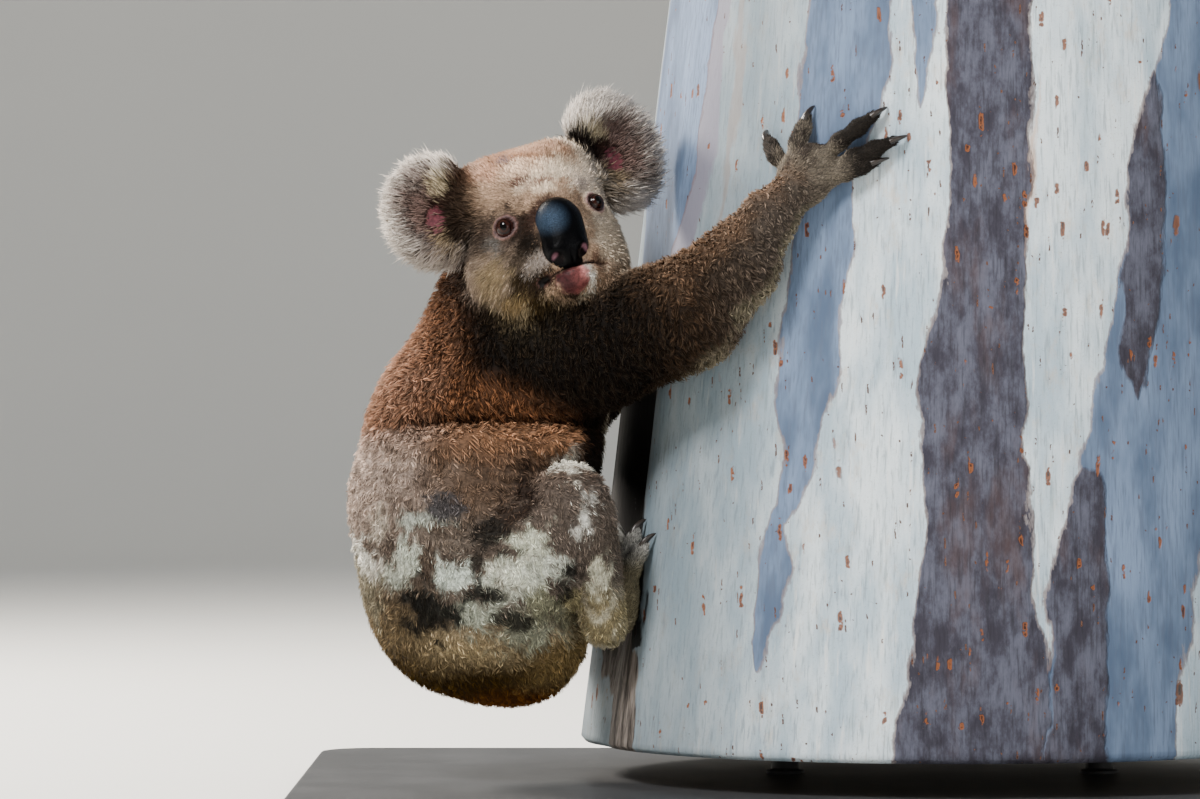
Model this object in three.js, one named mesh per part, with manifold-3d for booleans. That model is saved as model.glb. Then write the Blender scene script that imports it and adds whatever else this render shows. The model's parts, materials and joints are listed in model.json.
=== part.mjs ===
// A life-size koala clinging upright to a cut length of eucalyptus trunk, looking back over its right
// shoulder. The trunk length stands on two short rods above a flat display base. Millimetres, +Z up, and the
// origin is the centre of the base's underside. The koala is on the trunk's -X side, its right side facing -Y.
//
// The animal is made of distance fields: named masses of flesh and coat, blended where they run into each other.
// Each field is polygonised as one closed surface and then parted into its named pieces by thin cuts.
import * as THREE from "three";
import { mergeVertices } from "three/addons/utils/BufferGeometryUtils.js";
import Module from "manifold-3d";

const wasm = await Module();
wasm.setup();

// ---- Driving dimensions ----
const GAP = 0.35; // left between pieces that touch
const BASE = { length: 900, width: 700, thickness: 18, corner: 50, bevel: 3 };
const ROD = { radius: 17, spacing: 280, sides: 18 };
const LOG = {
  bottom: 48, // height of its lower cut
  top: 712,
  axisX: 120, // of the lower cut's centre
  axisY: 10,
  lean: 43, // how far the axis moves along +X on the way up
  radiusBottom: 320,
  radiusTop: 285,
  sides: 38,
  rings: 5,
};
const CELL = 31; // size of the cells that the body's surface is made with
const EYE = { radius: 9.2, across: 9, down: 6 };
const SHANK = { atKnee: 32, atAnkle: 24, across: 12, down: 10 };
const PALM = { across: 8, down: 6 };
const FINGER = { sides: 6, steps: 3 };
const CLAW = { length: 13, radius: 2.5, sides: 4, steps: 2 };
const FACING = THREE.MathUtils.degToRad(14.5); // the body faces the trunk's axis, this far round from +X
const BODY_AT = new THREE.Vector3(-290, -100, 0);
const HEAD_AT = new THREE.Vector3(-234, -156, 494);
const HEAD_TURN = { yaw: 12, pitch: 12, roll: 17 }; // degrees, from looking along -Y

const V = (x, y, z) => new THREE.Vector3(x, y, z);

// The planes that part the body: their places, the way that they face, and how far past them they cut.
const CUTS = {
  shoulder: { towardScapula: 0.15, reach: 260, width: 190 },
  elbow: { reach: 260 },
  hip: { outward: 74, height: 200, reach: 190, width: 264 },
  neck: { height: 418, facing: V(0.25, -0.1, 1), reach: 300 },
  waist: { height: 318, facing: V(0.12, 0, 1), reach: 300 },
  seat: { height: 200, facing: V(-0.25, 0, 1), reach: 300 },
};

// ---- Distance fields: functions of x, y, z that are negative inside ----
function ellipsoid(centre, radii) {
  const { x: cx, y: cy, z: cz } = centre;
  const [rx, ry, rz] = radii;
  return (x, y, z) => {
    const a = (x - cx) / rx;
    const b = (y - cy) / ry;
    const c = (z - cz) / rz;
    const scaled = Math.hypot(a, b, c);
    const slope = Math.hypot(a / rx, b / ry, c / rz);
    return slope > 1e-9 ? (scaled * (scaled - 1)) / slope : -Math.min(rx, ry, rz);
  };
}

// A straight stretch of limb whose radius changes evenly from one end to the other.
function stretch(from, to, radiusFrom, radiusTo) {
  const d = to.clone().sub(from);
  const lengthSq = d.lengthSq();
  return (x, y, z) => {
    const px = x - from.x;
    const py = y - from.y;
    const pz = z - from.z;
    const t = Math.min(1, Math.max(0, (px * d.x + py * d.y + pz * d.z) / lengthSq));
    const away = Math.hypot(px - t * d.x, py - t * d.y, pz - t * d.z);
    return away - radiusFrom - t * (radiusTo - radiusFrom);
  };
}

// Joins fields with a fillet about `soft` wide.
function blend(soft, ...fields) {
  return (x, y, z) => {
    let d = fields[0](x, y, z);
    for (let i = 1; i < fields.length; i++) {
      const e = fields[i](x, y, z);
      const h = Math.max(soft - Math.abs(d - e), 0) / soft;
      d = Math.min(d, e) - (h * h * soft) / 4;
    }
    return d;
  };
}

// A field given in a local frame, placed by that frame's rigid matrix.
function placed(matrix, field) {
  const m = matrix.clone().invert().elements;
  return (x, y, z) =>
    field(
      m[0] * x + m[4] * y + m[8] * z + m[12],
      m[1] * x + m[5] * y + m[9] * z + m[13],
      m[2] * x + m[6] * y + m[10] * z + m[14],
    );
}

// ---- From a field to a closed solid ----
// The four cells round a grid edge along each axis, as steps back from the edge's own cell.
const AROUND = [
  [[0, 1, 1], [0, 0, 1], [0, 0, 0], [0, 1, 0]],
  [[1, 0, 1], [1, 0, 0], [0, 0, 0], [0, 0, 1]],
  [[1, 1, 0], [0, 1, 0], [0, 0, 0], [1, 0, 0]],
];

// One vertex for each grid cell that the surface crosses, moved onto the surface, and one quad for each grid edge
// that it crosses.
function net(field, low, high, step) {
  const inBox = (x, y, z) =>
    Math.max(low.x - x, x - high.x, low.y - y, y - high.y, low.z - z, z - high.z);
  const f = (x, y, z) => Math.max(field(x, y, z), inBox(x, y, z));
  const size = high.clone().sub(low);
  const [nx, ny, nz] = [size.x, size.y, size.z].map((s) => Math.ceil(s / step) + 4);
  const origin = low.clone().addScalar(-1.5 * step);
  const at = (i, j, k) => i + nx * (j + ny * k);
  const values = new Float64Array(nx * ny * nz);
  for (let k = 0; k < nz; k++)
    for (let j = 0; j < ny; j++)
      for (let i = 0; i < nx; i++)
        values[at(i, j, k)] = f(origin.x + i * step, origin.y + j * step, origin.z + k * step);

  const corners = [0, 1, 2, 3, 4, 5, 6, 7].map((c) => [c & 1, (c >> 1) & 1, c >> 2]);
  const edges = corners.flatMap((a, i) =>
    corners.flatMap((b, j) =>
      j > i && Math.abs(a[0] - b[0]) + Math.abs(a[1] - b[1]) + Math.abs(a[2] - b[2]) === 1
        ? [[a, b]]
        : [],
    ),
  );
  const settle = (p) => {
    const e = step * 0.02;
    for (let turn = 0; turn < 4; turn++) {
      const d = f(p.x, p.y, p.z);
      const g = V(
        f(p.x + e, p.y, p.z) - f(p.x - e, p.y, p.z),
        f(p.x, p.y + e, p.z) - f(p.x, p.y - e, p.z),
        f(p.x, p.y, p.z + e) - f(p.x, p.y, p.z - e),
      ).divideScalar(2 * e);
      const lengthSq = Math.max(g.lengthSq(), 0.05);
      p.addScaledVector(g, -THREE.MathUtils.clamp(d / lengthSq, -0.3 * step, 0.3 * step));
    }
    return p;
  };
  const positions = [];
  const cellVertex = new Map();
  const vertexOf = (i, j, k) => {
    const key = at(i, j, k);
    if (!cellVertex.has(key)) {
      const p = V(0, 0, 0);
      let crossings = 0;
      for (const [a, b] of edges) {
        const va = values[at(i + a[0], j + a[1], k + a[2])];
        const vb = values[at(i + b[0], j + b[1], k + b[2])];
        if (va < 0 === vb < 0) continue;
        const t = va / (va - vb);
        p.x += i + a[0] + t * (b[0] - a[0]);
        p.y += j + a[1] + t * (b[1] - a[1]);
        p.z += k + a[2] + t * (b[2] - a[2]);
        crossings++;
      }
      p.multiplyScalar(step / crossings).add(origin);
      cellVertex.set(key, positions.push(settle(p)) - 1);
    }
    return cellVertex.get(key);
  };
  const triangles = [];
  for (let k = 1; k < nz - 1; k++)
    for (let j = 1; j < ny - 1; j++)
      for (let i = 1; i < nx - 1; i++) {
        const inside = values[at(i, j, k)] < 0;
        const ends = [at(i + 1, j, k), at(i, j + 1, k), at(i, j, k + 1)];
        ends.forEach((end, axis) => {
          if (inside === values[end] < 0) return;
          const [a, b, c, d] = AROUND[axis].map(([di, dj, dk]) => vertexOf(i - di, j - dj, k - dk));
          triangles.push(...(inside ? [a, b, c, a, c, d] : [a, c, b, a, d, c]));
        });
      }
  return solidFrom(positions.flatMap((p) => [p.x, p.y, p.z]), triangles);
}

// For a mass that every ray from its middle leaves once: a globe, its points moved out onto the field. The frame
// holds the middle, and its y axis runs through the globe's poles.
function globe(field, frame, { across, down, grow = 0 }) {
  const middle = V(0, 0, 0).applyMatrix4(frame);
  const sphere = new THREE.SphereGeometry(1, across, down).applyMatrix4(frame);
  const points = sphere.attributes.position;
  for (let i = 0; i < points.count; i++) {
    const ray = V(0, 0, 0).fromBufferAttribute(points, i).sub(middle);
    let [inside, outside] = [0, 200];
    while (outside - inside > 1e-4) {
      const t = (inside + outside) / 2;
      const p = middle.clone().addScaledVector(ray, t);
      if (field(p.x, p.y, p.z) < grow) inside = t;
      else outside = t;
    }
    points.setXYZ(i, ...middle.clone().addScaledVector(ray, inside));
  }
  return solidOf(sphere);
}

function solidFrom(positions, triangles) {
  return new wasm.Manifold(
    new wasm.Mesh({
      numProp: 3,
      vertProperties: new Float32Array(positions),
      triVerts: new Uint32Array(triangles),
    }),
  );
}

function solidOf(geometry, matrix = new THREE.Matrix4()) {
  const bare = geometry.clone().applyMatrix4(matrix);
  bare.deleteAttribute("normal");
  bare.deleteAttribute("uv");
  const merged = mergeVertices(bare, 1e-3);
  return solidFrom(merged.attributes.position.array, merged.index.array);
}

// A cutter: what lies past the plane through `point` that faces `direction`, as far as `reach` and `width` across.
function beyond(point, direction, reach, width, grow = 0) {
  const along = direction.clone().normalize();
  const turn = new THREE.Quaternion().setFromUnitVectors(V(0, 0, 1), along);
  const centre = point.clone().addScaledVector(along, reach / 2 - grow);
  const matrix = new THREE.Matrix4().compose(centre, turn, V(1, 1, 1));
  return solidOf(new THREE.BoxGeometry(width + 2 * grow, width + 2 * grow, reach), matrix);
}

// Cuts a solid by a plane into [this side, far side], with the gap between them.
function part(solid, point, direction, reach, width = 2 * reach) {
  return [
    solid.subtract(beyond(point, direction, reach, width, GAP)),
    solid.intersect(beyond(point, direction, reach, width)),
  ];
}

// A closed tube along points, its radius given at each point, with rounded ends.
function taperedTube(points, radii, sides, steps) {
  const curve = new THREE.CatmullRomCurve3(points);
  const frames = curve.computeFrenetFrames(steps, false);
  const positions = [];
  const triangles = [];
  for (let i = 0; i <= steps; i++) {
    const t = i / steps;
    const p = curve.getPoint(t);
    const s = t * (radii.length - 1);
    const n = Math.min(radii.length - 2, Math.floor(s));
    const radius = THREE.MathUtils.lerp(radii[n], radii[n + 1], s - n);
    for (let j = 0; j < sides; j++) {
      const angle = (2 * Math.PI * j) / sides;
      const q = p
        .clone()
        .addScaledVector(frames.normals[i], radius * Math.cos(angle))
        .addScaledVector(frames.binormals[i], radius * Math.sin(angle));
      positions.push(q.x, q.y, q.z);
    }
  }
  for (let i = 0; i < steps; i++)
    for (let j = 0; j < sides; j++) {
      const a = i * sides + j;
      const b = i * sides + ((j + 1) % sides);
      triangles.push(a, b, a + sides, b, b + sides, a + sides);
    }
  const ends = [
    curve.getPoint(0).addScaledVector(curve.getTangent(0), -0.5 * radii[0]),
    curve.getPoint(1).addScaledVector(curve.getTangent(1), 0.5 * radii[radii.length - 1]),
  ];
  ends.forEach((end, e) => {
    const tip = positions.push(end.x, end.y, end.z) / 3 - 1;
    const ring = e * steps * sides;
    for (let j = 0; j < sides; j++) {
      const a = ring + j;
      const b = ring + ((j + 1) % sides);
      triangles.push(...(e ? [a, b, tip] : [b, a, tip]));
    }
  });
  return solidFrom(positions, triangles);
}

// ---- The trunk length ----
// Its radius swells and shrinks slightly round the stem, with one long shallow fold where an old limb closed over.
const logShare = (z) => (z - LOG.bottom) / (LOG.top - LOG.bottom);
const logAxis = (z) => V(LOG.axisX + LOG.lean * logShare(z), LOG.axisY, z);
const FOLD = { angle: -2.84, width: 0.09, depth: 22, middle: 300, reach: 200 };
function logRadius(angle, z) {
  const plain = THREE.MathUtils.lerp(LOG.radiusBottom, LOG.radiusTop, logShare(z));
  const swell = 3 * Math.sin(2 * angle + 0.8 + z * 0.004) + 2 * Math.sin(5 * angle + z * 0.006);
  const across = (angle - FOLD.angle) / FOLD.width;
  const along = (z - FOLD.middle) / FOLD.reach;
  return plain + swell - FOLD.depth * Math.exp(-across * across) * Math.exp(-along * along);
}

// A point on the bark, or `lift` above it.
function onLog(angle, z, lift) {
  const radius = logRadius(angle, z) + lift;
  return logAxis(z).add(V(radius * Math.cos(angle), radius * Math.sin(angle), 0));
}

function logSolid(grow = 0) {
  const positions = [];
  const triangles = [];
  const { rings } = LOG;
  const even = Array.from({ length: LOG.sides }, (_, j) => 2 * Math.PI * ((j + 0.5) / LOG.sides - 0.5));
  const finer = [-1.8, -1.1, -0.5, 0, 0.5, 1.1, 1.8].map((step) => FOLD.angle + step * FOLD.width);
  const angles = even
    .filter((angle) => Math.abs(angle - FOLD.angle) > 2.1 * FOLD.width)
    .concat(finer)
    .sort((a, b) => a - b);
  const sides = angles.length;
  for (let i = 0; i <= rings; i++) {
    const z = THREE.MathUtils.lerp(LOG.bottom, LOG.top, i / rings);
    for (const angle of angles) positions.push(...onLog(angle, z, grow));
  }
  for (let i = 0; i < rings; i++)
    for (let j = 0; j < sides; j++) {
      const a = i * sides + j;
      const b = i * sides + ((j + 1) % sides);
      triangles.push(a, b, a + sides, b, b + sides, a + sides);
    }
  for (const [ring, up] of [[0, false], [rings, true]]) {
    const hub = positions.push(...logAxis(up ? LOG.top : LOG.bottom)) / 3 - 1;
    for (let j = 0; j < sides; j++) {
      const a = ring * sides + j;
      const b = ring * sides + ((j + 1) % sides);
      triangles.push(...(up ? [a, b, hub] : [b, a, hub]));
    }
  }
  return solidFrom(positions, triangles);
}

// ---- The body's frame: forward to the trunk, left, up ----
const forward = V(Math.cos(FACING), Math.sin(FACING), 0);
const left = V(-Math.sin(FACING), Math.cos(FACING), 0);
const bodyFrame = new THREE.Matrix4().makeBasis(forward, left, V(0, 0, 1)).setPosition(BODY_AT);
const other = (p) => {
  const side = p.clone().sub(BODY_AT).dot(left);
  return p.clone().addScaledVector(left, -2 * side);
};

// ---- Joints of the limbs ----
const rightJoints = {
  scapula: V(-240, -128, 392),
  shoulder: V(-186, -164, 400),
  elbow: V(-112, -221, 424),
  forearm: V(-70, -240, 464),
  cuff: V(-43, -248, 504),
  wrist: V(-21, -253, 528),
  hip: V(-272, -150, 200),
  thigh: V(-236, -168, 226),
  knee: V(-211, -192, 262),
  shin: V(-198, -192, 244),
  ankle: V(-181, -165, 157),
};
const leftJoints = {
  ...Object.fromEntries(Object.entries(rightJoints).map(([name, p]) => [name, other(p)])),
  elbow: V(-213, 108, 362),
  forearm: V(-176, 143, 378),
  cuff: V(-143, 166, 399),
  wrist: V(-119, 181, 416),
};

function torsoField() {
  return placed(
    bodyFrame,
    blend(
      38,
      ellipsoid(V(-13, 0, 262), [106, 104, 110]), // loins
      ellipsoid(V(-5, 0, 182), [98, 100, 96]), // rump
      ellipsoid(V(38, 0, 146), [56, 80, 62]), // seat
      ellipsoid(V(28, 0, 300), [80, 84, 80]), // belly
      ellipsoid(V(8, 0, 346), [99, 92, 76]), // back
      ellipsoid(V(30, 0, 390), [78, 86, 66]), // chest
      ellipsoid(V(24, -6, 440), [62, 58, 60]), // neck
    ),
  );
}

function armField({ scapula, shoulder, elbow, forearm, cuff, wrist }) {
  return blend(
    10,
    stretch(scapula, shoulder, 63, 58),
    stretch(shoulder, elbow, 58, 50),
    stretch(elbow, forearm, 50, 38),
    stretch(forearm, cuff, 38, 25),
    stretch(cuff, wrist, 25, 18),
  );
}

function thighField({ hip, thigh, knee }) {
  return blend(14, stretch(hip, thigh, 76, 62), stretch(thigh, knee, 62, 40));
}

const bodyField = blend(
  18,
  blend(30, torsoField(), armField(rightJoints), armField(leftJoints)),
  thighField(rightJoints),
  thighField(leftJoints),
);

// ---- Head frame: to the animal's right, forward, up ----
const headFrame = new THREE.Matrix4();
{
  const { yaw, pitch, roll } = Object.fromEntries(
    Object.entries(HEAD_TURN).map(([name, degrees]) => [name, THREE.MathUtils.degToRad(degrees)]),
  );
  const ahead = V(Math.sin(yaw) * Math.cos(pitch), -Math.cos(yaw) * Math.cos(pitch), Math.sin(pitch));
  const level = V(0, 0, 1).addScaledVector(ahead, -ahead.z).normalize();
  const up = level.applyAxisAngle(ahead, roll);
  const side = ahead.clone().cross(up);
  headFrame.makeBasis(side, ahead, up).setPosition(HEAD_AT);
}
const inHead = (x, y, z) => V(x, y, z).applyMatrix4(headFrame);

// Features that come in pairs are given once, on the side where x is positive.
const paired = (field) => (x, y, z) => field(Math.abs(x), y, z);

const NOSE_AT = V(1, 63, -15);
const EYES_AT = { eye_left: V(-41.5, 37, 5.5), eye_right: V(39, 38, 7) };
const EARS = {
  right: { at: V(84, -12, 48), radii: [47, 52], opening: V(0.42, 0.9, -0.05) },
  left: { at: V(-90, -12, 55), radii: [50, 54], opening: V(-0.36, 0.92, -0.05) },
};
const EAR_SIDES = 18;

const noseField = blend(
  12,
  ellipsoid(V(0, 61, -7), [20.5, 18, 23]),
  ellipsoid(V(2.5, 64.5, -29), [19.7, 16, 18.8]),
);

const headField = blend(
  16,
  ellipsoid(V(0, -8, 20), [61, 64, 60]), // cranium
  paired(ellipsoid(V(31, -14, 42), [33, 48, 37])), // crown
  paired(ellipsoid(V(30, 2, -22), [36, 44, 46])), // cheek
  ellipsoid(V(0, 4, -46), [52, 46, 38]), // throat
  ellipsoid(V(0, 36, -16), [34, 39, 34]), // muzzle
  ellipsoid(V(0, 44, -49), [25, 28, 22]), // chin
  ellipsoid(V(47, -6, -26), [29, 36, 34]), // right cheek's ruff
  ellipsoid(V(-27, 22, -45), [28, 34, 29]), // left side of the jaw
);

// A thick-rimmed bowl of fur: the profile runs from the back's middle round the rim to the bowl's floor. It is
// given as shares of the ear's radius and as depths, and the opening looks along +y.
function earSolid({ at, radii, opening }) {
  const profile = [
    [0, -19],
    [0.42, -17],
    [0.8, -9],
    [0.98, 3],
    [0.88, 11],
    [0.62, 7],
    [0, -6],
  ].map(([share, depth]) => new THREE.Vector2(share, depth));
  const ahead = opening.clone().normalize();
  const across = ahead.clone().cross(V(0, 0, 1)).normalize();
  const up = across.clone().cross(ahead);
  const local = new THREE.Matrix4().makeBasis(across, ahead, up).setPosition(at);
  local.scale(V(radii[0], 1, radii[1]));
  return solidOf(new THREE.LatheGeometry(profile, EAR_SIDES), headFrame.clone().multiply(local));
}

// ---- Paws: laid on the bark ----
// Places on the bark's unrolled surface, from the paw's middle: along its fingers, across to its thumb, and lifted.
function pawPlacer({ angle, z, tilt, side }) {
  const c = Math.cos(tilt);
  const s = Math.sin(tilt);
  return (along, across, lift) => {
    const round = along * c - across * s;
    const rise = along * s + across * c;
    const height = z + rise;
    const turn = (-side * round) / logRadius(angle, height);
    return onLog(angle + turn, height, lift);
  };
}

// Each digit: where it starts [along, across], which way it points in degrees, its length and its radius.
const HAND = {
  palm: { length: 31, width: 27, depth: 15, lift: 15.5 },
  digits: [
    { name: "1", root: [-14, 22], toward: 95, length: 32, radius: 7.6, claw: true },
    { name: "2", root: [-1, 20], toward: 43, length: 34, radius: 8, claw: true },
    { name: "3", root: [20, 4], toward: 2, length: 53, radius: 8, claw: true },
    { name: "4", root: [24, -11], toward: -13, length: 51, radius: 7.8, claw: true },
    { name: "5", root: [16, -17], toward: -17, length: 37, radius: 7.4, claw: true },
  ],
};
const FOOT = {
  palm: { length: 38, width: 22, depth: 14, lift: 14.5 },
  digits: [
    { name: "1", root: [-8, 12], toward: 72, length: 28, radius: 8.6, claw: false },
    { name: "2", root: [22, 12], toward: 22, length: 23, radius: 5.6, claw: true },
    { name: "3", root: [22, 5], toward: 14, length: 24, radius: 5.6, claw: true },
    { name: "4", root: [26, -3], toward: -3, length: 27, radius: 7.4, claw: true },
    { name: "5", root: [18, -13], toward: -21, length: 25, radius: 7.4, claw: true },
  ],
};

const paws = {
  hand_right: { plan: HAND, angle: -2.136, z: 540, tilt: 0.66, side: -1 },
  hand_left: { plan: HAND, angle: 2.46, z: 430, tilt: 0.7, side: 1 },
  foot_right: { plan: FOOT, angle: -2.68, z: 184, tilt: 1.6, side: -1 },
  foot_left: { plan: FOOT, angle: 2.68 + 2 * FACING, z: 184, tilt: 1.6, side: 1 },
};

function pawPieces(name, { plan, ...where }) {
  const at = pawPlacer(where);
  const { palm, digits } = plan;
  const middle = at(0, 0, palm.lift);
  const along = at(1, 0, palm.lift).sub(middle).normalize();
  const away = at(0, 0, palm.lift + 1).sub(middle).normalize();
  const across = away.clone().cross(along).normalize();
  const frame = new THREE.Matrix4().makeBasis(along, across, away).setPosition(middle);
  const [palmSolid, room] = [0, GAP].map((grow) => {
    const size = V(palm.length + grow, palm.width + grow, palm.depth + grow);
    return solidOf(new THREE.SphereGeometry(1, PALM.across, PALM.down), frame.clone().scale(size));
  });
  let solid = palmSolid;
  const claws = [];
  for (const { name: digit, root, toward, length, radius, claw } of digits) {
    const direction = THREE.MathUtils.degToRad(toward);
    const run = (share) => [
      root[0] + share * length * Math.cos(direction),
      root[1] + share * length * Math.sin(direction),
    ];
    const lifts = [1.5, 1.9, 1.45, 1.1].map((share) => share * radius);
    const points = lifts.map((lift, i) => at(...run(i / (lifts.length - 1)), lift));
    const widths = [1, 1.05, 1, 0.72].map((share) => share * radius);
    solid = solid.add(taperedTube(points, widths, FINGER.sides, FINGER.steps));
    if (!claw) continue;
    const start = 1 - 2 / length;
    const clawPoints = [
      at(...run(start), 1.5 * radius),
      at(...run(start + (0.45 * CLAW.length) / length), 1.45 * radius),
      at(...run(start + (0.85 * CLAW.length) / length), 0.75 * radius),
      at(...run(start + (0.98 * CLAW.length) / length), 1.4),
    ];
    const [shape, clawRoom] = [0, GAP].map((grow) => {
      const radii = [CLAW.radius, CLAW.radius, 1.7, 0.5].map((radius) => radius + grow);
      return taperedTube(clawPoints, radii, CLAW.sides, CLAW.steps);
    });
    solid = solid.subtract(clawRoom);
    claws.push([`claw_${name}_${digit}`, shape]);
  }
  return { solid, room, claws };
}

// ---- Assembly ----
const COLOURS = {
  coat_grey: { color: 0x8c7a6a, roughness: 0.95 },
  coat_brown: { color: 0x5a3d2a, roughness: 0.95 },
  coat_pale: { color: 0xb8a98e, roughness: 0.95 },
  ear_fur: { color: 0xb5aa9c, roughness: 0.95 },
  nose_leather: { color: 0x15161a, roughness: 0.45 },
  eye: { color: 0x2a120c, roughness: 0.1 },
  claw_horn: { color: 0x1c1613, roughness: 0.4 },
  bark: { color: 0xb9bdb8, roughness: 0.85 },
  stand: { color: 0x2b2c2e, roughness: 0.5 },
};
const materials = Object.fromEntries(
  Object.entries(COLOURS).map(([name, look]) => [name, new THREE.MeshStandardMaterial(look)]),
);

const koala = new THREE.Group();
function addPiece(name, solid, material) {
  const largest = solid.decompose().sort((a, b) => b.volume() - a.volume())[0];
  const mesh = largest.getMesh();
  const geometry = new THREE.BufferGeometry();
  geometry.setAttribute("position", new THREE.BufferAttribute(mesh.vertProperties, 3));
  geometry.setIndex(new THREE.BufferAttribute(mesh.triVerts, 1));
  geometry.computeVertexNormals();
  const piece = new THREE.Mesh(geometry, materials[material]);
  piece.name = name;
  koala.add(piece);
}

const log = logSolid();
const logRoom = logSolid(GAP);
const BODY_BOX = [V(-430, -285, 60), V(10, 240, 560)];

// Head, with its eyes and nose let into it
const eyes = Object.entries(EYES_AT).map(([name, place]) => {
  const at = new THREE.Matrix4().setPosition(inHead(...place));
  const [solid, room] = [0, GAP].map((grow) =>
    solidOf(new THREE.SphereGeometry(EYE.radius + grow, EYE.across, EYE.down), at),
  );
  return { name, solid, room };
});
const placedHead = placed(headFrame, headField);
const placedNose = placed(headFrame, noseField);
const noseFrame = headFrame.clone().setPosition(inHead(...NOSE_AT));
const HEAD_GLOBE = { across: 20, down: 11 };
const NOSE_GLOBE = { across: 14, down: 9 };
const nose = globe(placedNose, noseFrame, NOSE_GLOBE);
const noseRoom = globe(placedNose, noseFrame, { ...NOSE_GLOBE, grow: GAP });
let head = globe(placedHead, headFrame, HEAD_GLOBE);
const headRoom = globe(placedHead, headFrame, { ...HEAD_GLOBE, grow: GAP }).add(noseRoom);
head = head.subtract(noseRoom);
for (const { room } of eyes) head = head.subtract(room);

// Ears, cut to sit against the head
for (const [side, ear] of Object.entries(EARS))
  addPiece(`ear_${side}`, earSolid(ear).subtract(headRoom), "ear_fur");
addPiece("head", head, "coat_grey");
addPiece("nose", nose, "nose_leather");
for (const { name, solid } of eyes) addPiece(name, solid, "eye");

// Shanks and paws, which the body makes room for
const sides = { right: rightJoints, left: leftJoints };
const rooms = [headRoom, logRoom];
for (const [side, { shin, ankle }] of Object.entries(sides)) {
  const along = new THREE.Quaternion().setFromUnitVectors(V(0, 1, 0), ankle.clone().sub(shin).normalize());
  const frame = new THREE.Matrix4().compose(shin.clone().lerp(ankle, 0.5), along, V(1, 1, 1));
  const [shank, shankRoom] = [0, GAP].map((grow) =>
    globe(stretch(shin, ankle, SHANK.atKnee, SHANK.atAnkle), frame, { ...SHANK, grow }),
  );
  addPiece(`shank_${side}`, shank.subtract(logRoom), "coat_pale");
  rooms.push(shankRoom);
  for (const paw of [`hand_${side}`, `foot_${side}`]) {
    const { solid, room, claws } = pawPieces(paw, paws[paw]);
    addPiece(paw, solid.subtract(logRoom).subtract(shankRoom), "coat_pale");
    rooms.push(room);
    for (const [name, claw] of claws) addPiece(name, claw, "claw_horn");
  }
}

// Body and limbs
let rest = rooms.reduce((solid, room) => solid.subtract(room), net(bodyField, ...BODY_BOX, CELL));
for (const [side, joints] of Object.entries(sides)) {
  const { shoulder, elbow, wrist, scapula } = joints;
  const out = shoulder.clone().sub(scapula);
  const { towardScapula, reach, width } = CUTS.shoulder;
  const [torsoSide, arm] = part(rest, shoulder.clone().lerp(scapula, towardScapula), out, reach, width);
  rest = torsoSide;
  const fold = wrist.clone().sub(elbow).normalize().add(elbow.clone().sub(shoulder).normalize());
  const [upper, lower] = part(arm, elbow, fold, CUTS.elbow.reach);
  addPiece(`upper_arm_${side}`, upper, "coat_brown");
  addPiece(`forearm_${side}`, lower, "coat_grey");
}
for (const side of Object.keys(sides)) {
  const out = left.clone().multiplyScalar(side === "left" ? 1 : -1);
  const { outward, height, reach, width } = CUTS.hip;
  const hipPlane = BODY_AT.clone().addScaledVector(out, outward).setZ(height);
  const [torsoSide, thigh] = part(rest, hipPlane, out, reach, width);
  rest = torsoSide;
  addPiece(`thigh_${side}`, thigh, "coat_grey");
}
for (const [name, colour, { height, facing, reach }] of [
  ["neck", "coat_brown", CUTS.neck],
  ["chest", "coat_brown", CUTS.waist],
  ["loins", "coat_grey", CUTS.seat],
]) {
  const [lower, upper] = part(rest, BODY_AT.clone().setZ(height), facing, reach);
  rest = lower;
  addPiece(name, upper, colour);
}
addPiece("rump", rest, "coat_pale");

// Trunk length, rods and base
addPiece("perch_trunk", log, "bark");
for (const [name, offset] of [["stand_rod_a", -0.5], ["stand_rod_b", 0.5]]) {
  const height = LOG.bottom - BASE.thickness - 2 * GAP;
  const rod = new THREE.CylinderGeometry(ROD.radius, ROD.radius, height, ROD.sides).rotateX(Math.PI / 2);
  rod.translate(LOG.axisX + offset * ROD.spacing, LOG.axisY, BASE.thickness + GAP + height / 2);
  addPiece(name, solidOf(rod), "stand");
}
{
  const { length, width, corner, thickness, bevel } = BASE;
  const outline = new THREE.Shape();
  const [x, y] = [length / 2 - bevel, width / 2 - bevel];
  outline.moveTo(-x + corner, -y).lineTo(x - corner, -y).quadraticCurveTo(x, -y, x, -y + corner);
  outline.lineTo(x, y - corner).quadraticCurveTo(x, y, x - corner, y);
  outline.lineTo(-x + corner, y).quadraticCurveTo(-x, y, -x, y - corner);
  outline.lineTo(-x, -y + corner).quadraticCurveTo(-x, -y, -x + corner, -y);
  const plate = new THREE.ExtrudeGeometry(outline, {
    depth: thickness - 2 * bevel,
    bevelThickness: bevel,
    bevelSize: bevel,
    bevelSegments: 1,
    curveSegments: 4,
  });
  plate.translate(0, 0, bevel);
  addPiece("stand_base", solidOf(plate), "stand");
}

export default koala;
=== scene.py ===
import json
import math

import bmesh
import bpy
import numpy as np
from mathutils import Matrix, Vector, noise

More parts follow.
